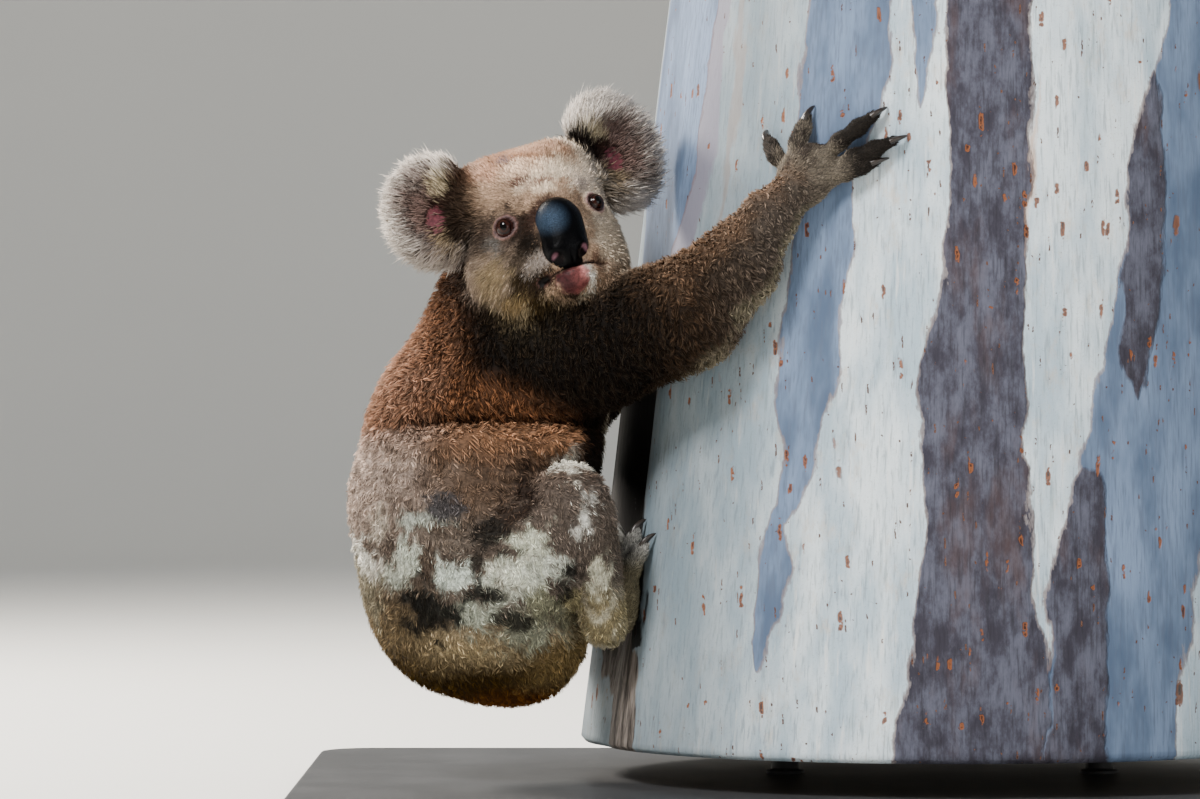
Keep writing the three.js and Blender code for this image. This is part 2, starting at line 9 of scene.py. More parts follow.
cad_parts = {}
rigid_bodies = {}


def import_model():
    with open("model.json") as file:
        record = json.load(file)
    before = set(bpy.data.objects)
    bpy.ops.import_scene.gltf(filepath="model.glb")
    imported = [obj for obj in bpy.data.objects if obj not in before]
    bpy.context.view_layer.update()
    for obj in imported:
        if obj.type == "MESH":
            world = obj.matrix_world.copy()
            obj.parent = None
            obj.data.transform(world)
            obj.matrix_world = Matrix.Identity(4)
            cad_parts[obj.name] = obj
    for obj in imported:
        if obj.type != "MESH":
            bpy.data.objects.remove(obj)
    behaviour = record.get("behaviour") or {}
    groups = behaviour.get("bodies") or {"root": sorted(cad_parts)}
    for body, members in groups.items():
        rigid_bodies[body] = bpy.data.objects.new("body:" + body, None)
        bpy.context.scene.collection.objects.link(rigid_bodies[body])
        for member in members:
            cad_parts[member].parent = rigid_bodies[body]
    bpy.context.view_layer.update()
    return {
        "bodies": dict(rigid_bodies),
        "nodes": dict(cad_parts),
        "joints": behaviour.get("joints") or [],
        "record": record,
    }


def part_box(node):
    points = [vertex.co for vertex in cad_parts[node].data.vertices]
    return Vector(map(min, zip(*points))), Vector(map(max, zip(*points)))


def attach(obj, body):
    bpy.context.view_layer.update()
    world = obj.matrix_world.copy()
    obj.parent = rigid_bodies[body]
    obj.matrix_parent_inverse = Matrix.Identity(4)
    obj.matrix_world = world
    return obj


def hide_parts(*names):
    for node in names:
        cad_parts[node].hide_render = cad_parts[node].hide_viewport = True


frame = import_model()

# ---- Camera ----
# A long lens, level and square to the koala's right side, that takes in the animal and the near side of its
# trunk and lets the trunk run out of the frame at the top and on the right.
lens = bpy.data.cameras.new("view")
lens.sensor_width = 36
lens.lens = 36 * 4.5 / 1.044
lens.clip_end = 40
camera = bpy.data.objects.new("view", lens)
camera.location = (-0.185, -4.600, 0.351)
camera.rotation_euler = (math.radians(90), 0, 0)
bpy.context.scene.collection.objects.link(camera)
bpy.context.scene.camera = camera

# ---- Studio light ----
# A big soft key from high on the left, a weak fill from the right, warm light from behind that edges the coat
# on both sides, and a pale surrounding that keeps the shadows open.


def softbox(name, at, aim, size, power, colour):
    """A square area light at a point, turned to face another."""
    light = bpy.data.lights.new(name, "AREA")
    light.shape = "SQUARE"
    light.size = size
    light.energy = power
    light.color = colour
    box = bpy.data.objects.new(name, light)
    box.location = at
    box.rotation_euler = (Vector(aim) - Vector(at)).to_track_quat("-Z", "Y").to_euler()
    box.visible_camera = False
    bpy.context.scene.collection.objects.link(box)


softbox("key", (-1.9, -2.7, 3.3), (-0.2, -0.1, 0.38), 1.2, 290, (1.0, 0.985, 0.96))
softbox("fill", (2.6, -3.4, 1.3), (-0.1, -0.1, 0.40), 2.2, 50, (0.96, 0.98, 1.0))
softbox("edge", (-2.6, 1.7, 2.4), (-0.25, -0.05, 0.38), 0.9, 400, (1.0, 0.93, 0.84))
softbox("edge_far", (2.4, 2.6, 2.6), (0.0, 0.0, 0.38), 1.6, 60, (1.0, 0.98, 0.95))

surround = bpy.data.worlds.new("surround")
surround.use_nodes = True
surround.node_tree.nodes["Background"].inputs["Color"].default_value = (0.93, 0.96, 1.0, 1)
surround.node_tree.nodes["Background"].inputs["Strength"].default_value = 0.36
bpy.context.scene.world = surround

# ---- Floor ----
# A pale matt studio floor that rises into its backdrop all the way round, so that every side of the model is
# seen against the same plain ground. The helpers that lay out a material's nodes are first needed here.


def hue(code, alpha=1.0):
    """A colour given as a hex code, as the linear values that the shaders take."""
    parts = [int(code[i : i + 2], 16) / 255 for i in (1, 3, 5)]
    return tuple(c / 12.92 if c <= 0.04045 else ((c + 0.055) / 1.055) ** 2.4 for c in parts) + (alpha,)


def place(tree, kind, values=None, **settings):
    """Adds a node. An entry of values is linked to its input if it is a socket, and set otherwise."""
    node = tree.nodes.new("ShaderNode" + kind)
    for name, value in settings.items():
        setattr(node, name, value)
    for name, value in (values or {}).items():
        if isinstance(value, bpy.types.NodeSocket):
            tree.links.new(value, node.inputs[name])
        else:
            node.inputs[name].default_value = value
    return node


def sums(tree, operation, a, b=0.0, c=0.0, clamp=False):
    """A Math node's output."""
    values = {0: a, 1: b}
    if operation in ("MULTIPLY_ADD", "WRAP", "SMOOTH_MIN"):
        values[2] = c
    return place(tree, "Math", values, operation=operation, use_clamp=clamp).outputs[0]


def mix(tree, factor, a, b, how="MIX"):
    """Two colours mixed by a factor."""
    return place(tree, "Mix", {0: factor, 6: a, 7: b}, data_type="RGBA", blend_type=how).outputs[2]


def ramp(tree, factor, low, high):
    """0 below low, 1 above high, smooth between."""
    values = {"Value": factor, "From Min": low, "From Max": high}
    return place(tree, "MapRange", values, interpolation_type="SMOOTHSTEP").outputs[0]


def grain(tree, vector, scale, detail=3.0, rough=0.55, **settings):
    """A fractal noise's value, from 0 to 1."""
    values = {"Vector": vector, "Scale": scale, "Detail": detail, "Roughness": rough}
    return place(tree, "TexNoise", values, **settings).outputs[0]


def stretched(tree, vector, scale):
    """Coordinates drawn out or squeezed along each axis."""
    return place(tree, "Mapping", {"Vector": vector, "Scale": scale}).outputs[0]


def finish_material(name):
    """A new material, its node tree, its Principled shader and its Object coordinates."""
    material = bpy.data.materials.new(name)
    material.use_nodes = True
    tree = material.node_tree
    shader = tree.nodes["Principled BSDF"]
    where = place(tree, "TexCoord").outputs["Object"]
    return material, tree, shader, where


def bump(tree, shader, height, strength, distance):
    """Roughens a shader's surface by a height."""
    values = {"Height": height, "Strength": strength, "Distance": distance}
    tree.links.new(place(tree, "Bump", values).outputs[0], shader.inputs["Normal"])


def piece(name, bm, *materials, smooth=True):
    """Turns a bmesh into an object of the scene, with its materials."""
    mesh = bpy.data.meshes.new(name)
    bm.to_mesh(mesh)
    bm.free()
    mesh.polygons.foreach_set("use_smooth", [smooth] * len(mesh.polygons))
    for material in materials:
        mesh.materials.append(material)
    made = bpy.data.objects.new(name, mesh)
    bpy.context.scene.collection.objects.link(made)
    return made


studio_paint, tree, shader, where = finish_material("studio_paint")
mottle = grain(tree, where, 1.2, 2)
tree.links.new(mix(tree, mottle, hue("#dddcd8"), hue("#e3e2dd")), shader.inputs["Base Color"])
shader.inputs["Roughness"].default_value = 0.8

bm = bmesh.new()
start = bm.verts.new((6.5, 0, 0))
bmesh.ops.spin(bm, geom=[start], cent=(6.5, 0, 2.5), axis=(0, -1, 0), angle=math.pi / 2, steps=14)
rim = max(bm.verts, key=lambda v: v.co.z)
bmesh.ops.translate(bm, verts=bmesh.ops.extrude_vert_indiv(bm, verts=[rim])["verts"], vec=(0, 0, 2))
profile = list(bm.verts) + list(bm.edges)
bmesh.ops.spin(bm, geom=profile, cent=(0, 0, 0), axis=(0, 0, 1), angle=math.tau, steps=96, use_merge=True)
inner = [e for e in bm.edges if e.is_boundary and max(v.co.z for v in e.verts) < 0.01]
bmesh.ops.contextual_create(bm, geom=inner)
bmesh.ops.recalc_face_normals(bm, faces=bm.faces)
floor = piece("floor", bm, studio_paint)

# ---- Trunk length ----
# The upper stem of a smooth-barked gum, sawn level at both ends: pale new bark with long hanging patches of
# the old blue-grey and purple-brown bark, ragged at their edges, and one fold down the side the koala holds.
# Painted shade darkens the bark on that side and blackens the fold, a strip beside it and the top of a dark
# strip of wood down the left edge.
LOG_FOOT = 0.048
LOG_TOP = 0.712
LOG_AXIS = (0.120, 0.010)
LOG_LEAN = 0.043
LOG_RADIUS = 0.320
LOG_TAPER = 0.035
FOLD_ANGLE = -2.84


def log_share(z):
    """How far up the stem a height is, from 0 to 1."""
    return (z - LOG_FOOT) / (LOG_TOP - LOG_FOOT)


def log_middle(z):
    """The stem's axis at a height."""
    return np.array([LOG_AXIS[0] + LOG_LEAN * log_share(z), LOG_AXIS[1], z])


def log_radius(angle, z):
    """Metres from the axis to the bark: a tapering round that swells and shrinks, with the fold in it."""
    swell = 0.003 * np.sin(2 * angle + 0.8 + 4 * z) + 0.002 * np.sin(5 * angle + 6 * z)
    fold = np.exp(-(((angle - FOLD_ANGLE) / 0.09) ** 2)) * np.exp(-(((z - 0.300) / 0.200) ** 2))
    return LOG_RADIUS - LOG_TAPER * log_share(z) + swell - 0.022 * fold


def on_log(angle, z, lift=0.0):
    """A point on the bark, or that far above it."""
    out = np.array([np.cos(angle), np.sin(angle), 0])
    return log_middle(z) + (log_radius(angle, z) + lift) * out


SIDES = 260
RINGS = 150
bm = bmesh.new()
ring = bmesh.ops.create_circle(bm, segments=SIDES, radius=1)["verts"]
loops = [(share, LOG_FOOT) for share in (0.03, 0.25, 0.5, 0.75, 0.93, 0.972, 0.988)]
loops += [(1.0, LOG_FOOT + 0.004 + (LOG_TOP - LOG_FOOT - 0.008) * i / RINGS) for i in range(RINGS + 1)]
loops += [(share, LOG_TOP) for share in (0.988, 0.972, 0.93, 0.75, 0.5, 0.25, 0.03)]
edges = list(bm.edges)
for turn, (share, z) in enumerate(loops):
    if turn:
        new = bmesh.ops.extrude_edge_only(bm, edges=edges)["geom"]
        ring = [v for v in new if isinstance(v, bmesh.types.BMVert)]
        edges = [e for e in new if isinstance(e, bmesh.types.BMEdge)]
        edges = [e for e in edges if all(v in set(ring) for v in e.verts)]
    middle = log_middle(z)
    for v in ring:
        out = v.co - last if turn else v.co
        angle = math.atan2(out.y, out.x)
        fine = 0.0007 * noise.noise((9 * math.cos(angle), 9 * math.sin(angle), 6 * z))
        radius = (float(log_radius(angle, z)) + fine) * share
        v.co = (middle[0] + radius * math.cos(angle), middle[1] + radius * math.sin(angle), z)
    last = Vector(middle)
for loop in ([e for e in bm.edges if e.is_boundary and e.verts[0].co.z < 0.1],
             [e for e in bm.edges if e.is_boundary and e.verts[0].co.z > 0.1]):
    bmesh.ops.contextual_create(bm, geom=loop)
bmesh.ops.recalc_face_normals(bm, faces=bm.faces)
for face in bm.faces:
    face.material_index = 1 if abs(face.normal.z) > 0.8 else 0


def mixed_towards(tree, colour, code, mask, share=1.0):
    """A colour changed towards another, by a share of a mask."""
    return mix(tree, sums(tree, "MULTIPLY", mask, share), colour, hue(code))


def less(tree, value):
    """What a value leaves of 1."""
    return sums(tree, "SUBTRACT", 1, value)


def hypotenuse(tree, a, b):
    """The length of two values at right angles."""
    return sums(tree, "SQRT", sums(tree, "ADD", sums(tree, "POWER", a, 2), sums(tree, "POWER", b, 2)))


def off_axis(tree, where):
    """How far a material's places are off the leaning stem's axis, across and back, and how high."""
    split = place(tree, "SeparateXYZ", {0: where}).outputs
    lean = LOG_LEAN / (LOG_TOP - LOG_FOOT)
    axis = sums(tree, "MULTIPLY_ADD", split[2], lean, LOG_AXIS[0] - lean * LOG_FOOT)
    return sums(tree, "SUBTRACT", split[0], axis), sums(tree, "SUBTRACT", split[1], LOG_AXIS[1]), split[2]


bark, tree, shader, where = finish_material("gum_bark")
across, back, height = off_axis(tree, where)
angle = sums(tree, "ARCTAN2", back, across)
broad = grain(tree, stretched(tree, where, (1, 1, 0.35)), 16, 3)
ragged = grain(tree, stretched(tree, where, (1, 1, 0.4)), 70, 4, 0.65)
waved = sums(tree, "MULTIPLY_ADD", sums(tree, "SUBTRACT", broad, 0.5), 0.20, angle)
waved = sums(tree, "MULTIPLY_ADD", sums(tree, "SUBTRACT", ragged, 0.5), 0.055, waved)
up = sums(tree, "MULTIPLY_ADD", sums(tree, "SUBTRACT", broad, 0.5), 0.12, height)

streak = bpy.data.node_groups.new("old_bark_streak", "ShaderNodeTree")
for socket in ("Angle", "Height", "Centre", "Lean", "Width", "Flare", "Foot", "Head"):
    streak.interface.new_socket(name=socket, in_out="INPUT", socket_type="NodeSocketFloat")
streak.interface.new_socket(name="Mask", in_out="OUTPUT", socket_type="NodeSocketFloat")
given = streak.nodes.new("NodeGroupInput").outputs
leaning = sums(streak, "SUBTRACT", given["Height"], 0.4)
middle = sums(streak, "MULTIPLY_ADD", leaning, given["Lean"], given["Centre"])
off = sums(streak, "WRAP", sums(streak, "SUBTRACT", given["Angle"], middle), math.pi, -math.pi)
below = sums(streak, "MULTIPLY", sums(streak, "SUBTRACT", given["Height"], given["Foot"]), 9, clamp=True)
above = sums(streak, "MULTIPLY", sums(streak, "SUBTRACT", given["Head"], given["Height"]), 9, clamp=True)
taper = sums(streak, "POWER", sums(streak, "MULTIPLY", below, above), 0.5)
flare = sums(streak, "MULTIPLY_ADD", sums(streak, "SUBTRACT", 0.6, given["Height"]), given["Flare"], 1)
half = sums(streak, "MULTIPLY", sums(streak, "MULTIPLY", given["Width"], flare), taper)
edge = sums(streak, "SUBTRACT", half, sums(streak, "ABSOLUTE", off))
mask = sums(streak, "MULTIPLY", edge, 90, clamp=True)
streak.links.new(mask, streak.nodes.new("NodeGroupOutput").inputs["Mask"])


def streaks(*rows):
    """The union of several streaks, each (centre and half width in degrees, lean, flare, foot, head)."""
    union = None
    for centre, width, lean, flared, foot, head in rows:
        given = {
            "Angle": waved, "Height": up, "Centre": math.radians(centre), "Lean": lean,
            "Width": math.radians(width), "Flare": flared, "Foot": foot, "Head": head,
        }
        mask = place(tree, "Group", given, node_tree=streak).outputs["Mask"]
        union = mask if union is None else sums(tree, "MAXIMUM", union, mask)
    return union


blue = streaks(
    (-118.5, 8.5, 0, 0, 0.52, 1.5), (-121.4, 5.6, 0, 0, 0.250, 1.5), (-122.9, 5.2, 0, 0, 0.138, 0.266),
    (-104, 3, 0, 0, 0.60, 1.5), (-60, 11, 0.45, 0.3, -1, 1.5), (-163, 14, 0, 0, 0.45, 1.5),
    (22, 13, -0.2, 0, 0.2, 1.5), (96, 7, 0.1, 0.4, -1, 0.58), (140, 9, 0, 0, -1, 1.5),
)
tan = streaks((-143, 1.3, 0.1, 0, 0.47, 1.5), (-86, 1.0, 0, 0, 0.3, 0.62), (48, 1.4, 0.1, 0, -1, 0.5))
# A strip of grey-brown wood down the left edge, whose darkness is partly painted shade.
scar_and_shade = streaks((-179, 15, -1.17, -0.9, -1, 0.47))
# A strip beside the fold, painted black as shade.
cleft_shade = streaks((-169.5, 6, -1.17, 0, 0.13, 0.46))
purple = streaks(
    (-92, 6.6, -0.13, 1.3, -1, 1.5), (-74, 5, 0, 0, -1, 0.30), (-65.5, 4, 0, 0, 0.35, 0.62),
    (-18, 9, 0.2, 0.8, -1, 0.66), (62, 8, -0.1, 0.9, -1, 1.5), (118, 4, 0, 0, 0.3, 1.5),
    (172, 10, 0.2, 0.5, -1, 0.5),
)
lilac = streaks((-154, 9, 0, 0, 0.44, 1.5))
fine = grain(tree, stretched(tree, where, (1, 1, 0.08)), 420, 3, 0.6)
soft = grain(tree, stretched(tree, where, (1, 1, 0.3)), 26, 4, 0.6)
blotch = grain(tree, stretched(tree, where, (1, 1, 0.5)), 55, 5, 0.7)
pale = mix(tree, ramp(tree, soft, 0.35, 0.68), hue("#9db0bd"), hue("#d3dde2"))
pale = mixed_towards(tree, pale, "#bfae98", ramp(tree, blotch, 0.52, 0.75), 0.55)
pale = mixed_towards(tree, pale, "#717d86", ramp(tree, fine, 0.50, 0.70), 0.55)
runs = grain(tree, stretched(tree, where, (1, 1, 0.05)), 170, 4, 0.65)
dust = grain(tree, where, 520, 4, 0.8)
pale = mixed_towards(tree, pale, "#6f7a80", ramp(tree, dust, 0.54, 0.70), 0.45)
pale = mixed_towards(tree, pale, "#8b9a9c", ramp(tree, runs, 0.55, 0.72), 0.45)
pale = mixed_towards(tree, pale, "#e9e6e0", ramp(tree, runs, 0.42, 0.30), 0.40)
pale = mixed_towards(tree, pale, "#c29a7b", tan, 0.55)
# The pale bark is painted darker round the side that faces the koala, as shade.
pale = mixed_towards(tree, pale, "#525f67", ramp(tree, angle, -1.88, -2.45), 0.72)
pale = mixed_towards(tree, pale, "#736d7c", lilac, 0.75)
blues = mix(tree, ramp(tree, soft, 0.3, 0.7), hue("#45556d"), hue("#70839f"))
blues = mixed_towards(tree, blues, "#4d576b", ramp(tree, fine, 0.45, 0.7), 0.60)
browns = mix(tree, ramp(tree, blotch, 0.35, 0.68), hue("#2f2d37"), hue("#545664"))
browns = mixed_towards(tree, browns, "#4a3733", ramp(tree, soft, 0.5, 0.7), 0.5)
browns = mixed_towards(tree, browns, "#232126", ramp(tree, fine, 0.45, 0.7), 0.5)
colour = mix(tree, blue, pale, blues)
colour = mix(tree, purple, colour, browns)
old = sums(tree, "MAXIMUM", purple, blue)
rim = sums(tree, "MULTIPLY", sums(tree, "MULTIPLY", old, less(tree, old)), 3.2, clamp=True)
colour = mixed_towards(tree, colour, "#6d4a3a", rim, 0.55)
tilted = {"Vector": where, "Rotation": (0.0, 0.5, 0.0), "Scale": (1.0, 1.0, 0.42)}
slanted = place(tree, "Mapping", tilted).outputs[0]
crooked = grain(tree, where, 130, 2)
flecks = None
for scale, size, share, inner, outer in (
    (70, 0.18, 0.36, "#2f1710", "#7d4a2c"), (24, 0.12, 0.60, "#170d0a", "#6f4630"),
    (150, 0.15, 0.40, "#20130f", "#6b4a3a"),
):
    aside = stretched(tree, crooked, (0.006, 0.006, 0.012))
    vector = place(tree, "VectorMath", {0: slanted, 1: aside}).outputs[0]
    cells = place(tree, "TexVoronoi", {"Vector": vector, "Scale": scale, "Randomness": 1.0})
    near_one = sums(tree, "DIVIDE", cells.outputs["Distance"], size)
    drawn = place(tree, "SeparateXYZ", {0: cells.outputs["Color"]}).outputs[0]
    chosen = ramp(tree, drawn, share, share + 0.02)
    fleck = mix(tree, ramp(tree, near_one, 0.2, 0.7), hue(inner), hue(outer))
    mask = sums(tree, "MULTIPLY", less(tree, ramp(tree, near_one, 0.7, 1.0)), chosen)
    colour = mix(tree, sums(tree, "MULTIPLY", mask, 0.92), colour, fleck)
    flecks = mask if flecks is None else sums(tree, "MAXIMUM", flecks, mask)
# The fold between the paws' heights and the strip beside it are painted near-black as shade.
from_fold = sums(tree, "ABSOLUTE", sums(tree, "SUBTRACT", waved, FOLD_ANGLE))
beside_paws = sums(tree, "MULTIPLY", ramp(tree, up, 0.10, 0.20), less(tree, ramp(tree, up, 0.40, 0.56)))
painted_crease_shade = sums(tree, "MULTIPLY", less(tree, ramp(tree, from_fold, 0.09, 0.15)), beside_paws)
scar_wood_and_shade = mix(tree, ramp(tree, runs, 0.35, 0.65), hue("#2d2623"), hue("#827972"))
scar_wood_and_shade = mixed_towards(tree, scar_wood_and_shade, "#1c1715", ramp(tree, fine, 0.45, 0.7), 0.6)
# Higher up, the strip is painted near-black as shade in the crevice behind the koala.
scar_wood_and_shade = mixed_towards(tree, scar_wood_and_shade, "#0b0908", ramp(tree, up, 0.10, 0.21), 0.88)
colour = mix(tree, scar_and_shade, colour, scar_wood_and_shade)
painted_crease_shade = sums(tree, "MAXIMUM", painted_crease_shade, cleft_shade)
colour = mixed_towards(tree, colour, "#0d0a09", painted_crease_shade, 0.96)
tree.links.new(colour, shader.inputs["Base Color"])
rough = sums(tree, "MULTIPLY_ADD", purple, 0.18, 0.66)
tree.links.new(sums(tree, "MULTIPLY_ADD", fine, 0.1, rough), shader.inputs["Roughness"])
raised = sums(tree, "MULTIPLY_ADD", blue, 0.25, sums(tree, "MULTIPLY", purple, 0.65))
shader.inputs["Specular IOR Level"].default_value = 0.25
scaly = sums(tree, "MULTIPLY", sums(tree, "MULTIPLY_ADD", purple, 0.55, 0.12), blotch)
height = sums(tree, "ADD", raised, sums(tree, "ADD", scaly, sums(tree, "MULTIPLY", fine, 0.16)))
height = sums(tree, "SUBTRACT", height, sums(tree, "MULTIPLY", flecks, 0.5))
bump(tree, shader, height, 0.9, 0.0016)

wood, tree, shader, where = finish_material("sawn_wood")
across, back, height = off_axis(tree, where)
radial = hypotenuse(tree, across, back)
wobble = sums(tree, "MULTIPLY_ADD", grain(tree, where, 9, 3), 0.02, radial)
years = sums(tree, "SINE", sums(tree, "MULTIPLY", wobble, 1500))
late = ramp(tree, years, 0.2, 0.9)
round_it = sums(tree, "ARCTAN2", back, across)
rays = place(tree, "CombineXYZ", {0: sums(tree, "MULTIPLY", round_it, 3), 1: wobble}).outputs[0]
off_line = sums(tree, "ABSOLUTE", sums(tree, "SUBTRACT", grain(tree, rays, 4.0, 3, 0.6), 0.5))
checks = less(tree, ramp(tree, off_line, 0.002, 0.012))
checks = sums(tree, "MULTIPLY", checks, ramp(tree, radial, 0.03, 0.12))
heart = mix(tree, ramp(tree, wobble, 0.08, 0.21), hue("#a87450"), hue("#d6bd97"))
heart = mixed_towards(tree, heart, "#86593a", late, 0.50)
heart = mixed_towards(tree, heart, "#e2cfae", grain(tree, where, 60, 4), 0.35)
heart = mixed_towards(tree, heart, "#3a2417", checks, 0.8)
heart = mixed_towards(tree, heart, "#6a5140", ramp(tree, radial, 0.268, 0.274))
tree.links.new(heart, shader.inputs["Base Color"])
shader.inputs["Roughness"].default_value = 0.8
bump(tree, shader, sums(tree, "ADD", years, grain(tree, where, 300, 3)), 0.35, 0.0006)

trunk = piece("trunk", bm, bark, wood)
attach(trunk, "root")
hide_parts("perch_trunk")

# ---- Display stand ----
# A flat board with rounded corners and edges, coated charcoal, and two short turned steel posts that stand on
# it and carry the trunk by its lower cut, each with a thin collar at both ends.
coated, tree, shader, where = finish_material("charcoal_powder_coat")
orange_peel = grain(tree, where, 900, 2)
dust = grain(tree, where, 14, 4)
tone = mix(tree, ramp(tree, dust, 0.35, 0.75), hue("#2c2d2f"), hue("#38393b"))
tree.links.new(tone, shader.inputs["Base Color"])
tree.links.new(sums(tree, "MULTIPLY_ADD", dust, 0.18, 0.40), shader.inputs["Roughness"])
bump(tree, shader, orange_peel, 0.25, 0.0003)

PLATE = Vector((0.900, 0.700, 0.018))
POST_SPREAD = 0.140
bm = bmesh.new()
middle = Matrix.Translation((0, 0, PLATE.z / 2))
bmesh.ops.create_cube(bm, size=1, matrix=middle @ Matrix.Diagonal((*PLATE, 1)))
uprights = [e for e in bm.edges if abs(e.verts[0].co.z - e.verts[1].co.z) > 0.01]
bmesh.ops.bevel(bm, geom=uprights, offset=0.050, segments=14, profile=0.5, affect="EDGES", material=-1)
rims = [e for e in bm.edges if abs(e.verts[0].co.z - e.verts[1].co.z) < 0.001]
bmesh.ops.bevel(bm, geom=rims, offset=0.003, segments=4, profile=0.5, affect="EDGES", material=-1)
plate = piece("stand_plate", bm, coated, smooth=False)
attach(plate, "root")
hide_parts("stand_base")

# The posts' radius and height at each turn of their outline.
POST_PROFILE = (
    (0.0005, 0.0184), (0.0170, 0.0184), (0.0170, 0.0205), (0.0163, 0.0215), (0.0130, 0.0220),
    (0.0124, 0.0232), (0.0124, 0.0424), (0.0130, 0.0438), (0.0163, 0.0444), (0.0170, 0.0454),
    (0.0170, 0.0475), (0.0005, 0.0475),
)
for name, side in (("stand_post_a", -1), ("stand_post_b", 1)):
    bm = bmesh.new()
    made = [bm.verts.new((radius, 0, z)) for radius, z in POST_PROFILE]
    line = [bm.edges.new(pair) for pair in zip(made, made[1:])]
    bmesh.ops.spin(bm, geom=made + line, axis=(0, 0, 1), angle=math.tau, steps=64, use_merge=True)
    bmesh.ops.remove_doubles(bm, verts=bm.verts, dist=0.0001)
    bmesh.ops.recalc_face_normals(bm, faces=bm.faces)
    bmesh.ops.translate(bm, verts=bm.verts, vec=(LOG_AXIS[0] + side * POST_SPREAD, LOG_AXIS[1], 0))
    post = piece(name, bm, coated, smooth=False)
    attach(post, "root")
    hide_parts(name.replace("post", "rod"))

# ---- Skin ----
# The animal's hide under the coat, in one piece from the nose to the toes: named masses of flesh that run
# into each other, with the lids, the lips and the ears' bowls worked into it. It lies inside the solids by
# the depth of the coat, and flat against the bark where the belly and the paws press on it.
FACING = math.radians(14.5)
FORWARD = np.array([math.cos(FACING), math.sin(FACING), 0])
LEFT = np.array([-math.sin(FACING), math.cos(FACING), 0])
UP = np.array([0.0, 0.0, 1.0])
BODY = (np.array([-0.290, -0.100, 0]), np.array([FORWARD, LEFT, UP]))
YAW, PITCH, ROLL = (math.radians(angle) for angle in (12, 12, 17))
AHEAD = Vector((math.sin(YAW) * math.cos(PITCH), -math.cos(YAW) * math.cos(PITCH), math.sin(PITCH)))
CROWN = Matrix.Rotation(ROLL, 3, AHEAD) @ (Vector((0, 0, 1)) - AHEAD * AHEAD.z).normalized()
HEAD = (np.array([-0.234, -0.156, 0.494]), np.array([AHEAD.cross(CROWN), AHEAD, CROWN]))


def inside(frame, points):
    """Points in a frame's own coordinates."""
    return (points - frame[0]) @ frame[1].T


def outside(frame, point):
    """A frame's point in the model's coordinates."""
    return frame[0] + np.array(point) @ frame[1]


def unit(vectors):
    """Vectors brought to a length of 1."""
    return vectors / np.maximum(np.linalg.norm(vectors, axis=-1, keepdims=True), 1e-9)


def oval(frame, centre, radii):
    """An ellipsoid of flesh, given in a frame."""
    return {"frame": frame, "centre": np.array(centre), "radii": np.array(radii)}


def limb(start, end, radius, radius_end):
    """A straight stretch of limb, of a radius that changes evenly."""
    return {"start": np.array(start), "end": np.array(end), "radius": (radius, radius_end)}


def reach(mass, points):
    """Signed distance from a mass."""
    if "frame" in mass:
        local = (inside(mass["frame"], points) - mass["centre"]) / mass["radii"]
        size = np.linalg.norm(local, axis=1)
        return size * (size - 1) / np.maximum(np.linalg.norm(local / mass["radii"], axis=1), 1e-6)
    along = mass["end"] - mass["start"]
    share = np.clip((points - mass["start"]) @ along / (along @ along), 0, 1)
    off = np.linalg.norm(points - mass["start"] - share[:, None] * along, axis=1)
    return off - mass["radius"][0] - share * (mass["radius"][1] - mass["radius"][0])


def run_together(soft, *distances):
    """Joins distances with a fillet that wide."""
    joined = distances[0]
    for other in distances[1:]:
        near = np.maximum(soft - np.abs(joined - other), 0) / soft
        joined = np.minimum(joined, other) - near * near * soft / 4
    return joined


def ease(low, high, value):
    """0 below low, 1 above high, smooth between."""
    share = np.clip((value - low) / (high - low), 0, 1)
    return share * share * (3 - 2 * share)


def joints(**given):
    """The right side's joints and the left side's, which mirror them where they aren't given."""
    mirrored = {name: p - 2 * ((p - BODY[0]) @ LEFT) * LEFT for name, p in given.items()}
    return given, mirrored


right_side, left_side = joints(
    scapula=np.array([-0.240, -0.128, 0.392]), shoulder=np.array([-0.186, -0.164, 0.400]),
    elbow=np.array([-0.112, -0.221, 0.424]), forearm=np.array([-0.070, -0.240, 0.464]),
    cuff=np.array([-0.043, -0.248, 0.504]), wrist=np.array([-0.021, -0.253, 0.528]),
    hip=np.array([-0.272, -0.150, 0.200]), thigh=np.array([-0.236, -0.168, 0.226]),
    knee=np.array([-0.211, -0.192, 0.262]), shin=np.array([-0.198, -0.192, 0.244]),
    ankle=np.array([-0.181, -0.165, 0.157]),
)
left_side.update(
    elbow=np.array([-0.213, 0.108, 0.362]), forearm=np.array([-0.176, 0.143, 0.378]),
    cuff=np.array([-0.143, 0.166, 0.399]), wrist=np.array([-0.119, 0.181, 0.416]),
)

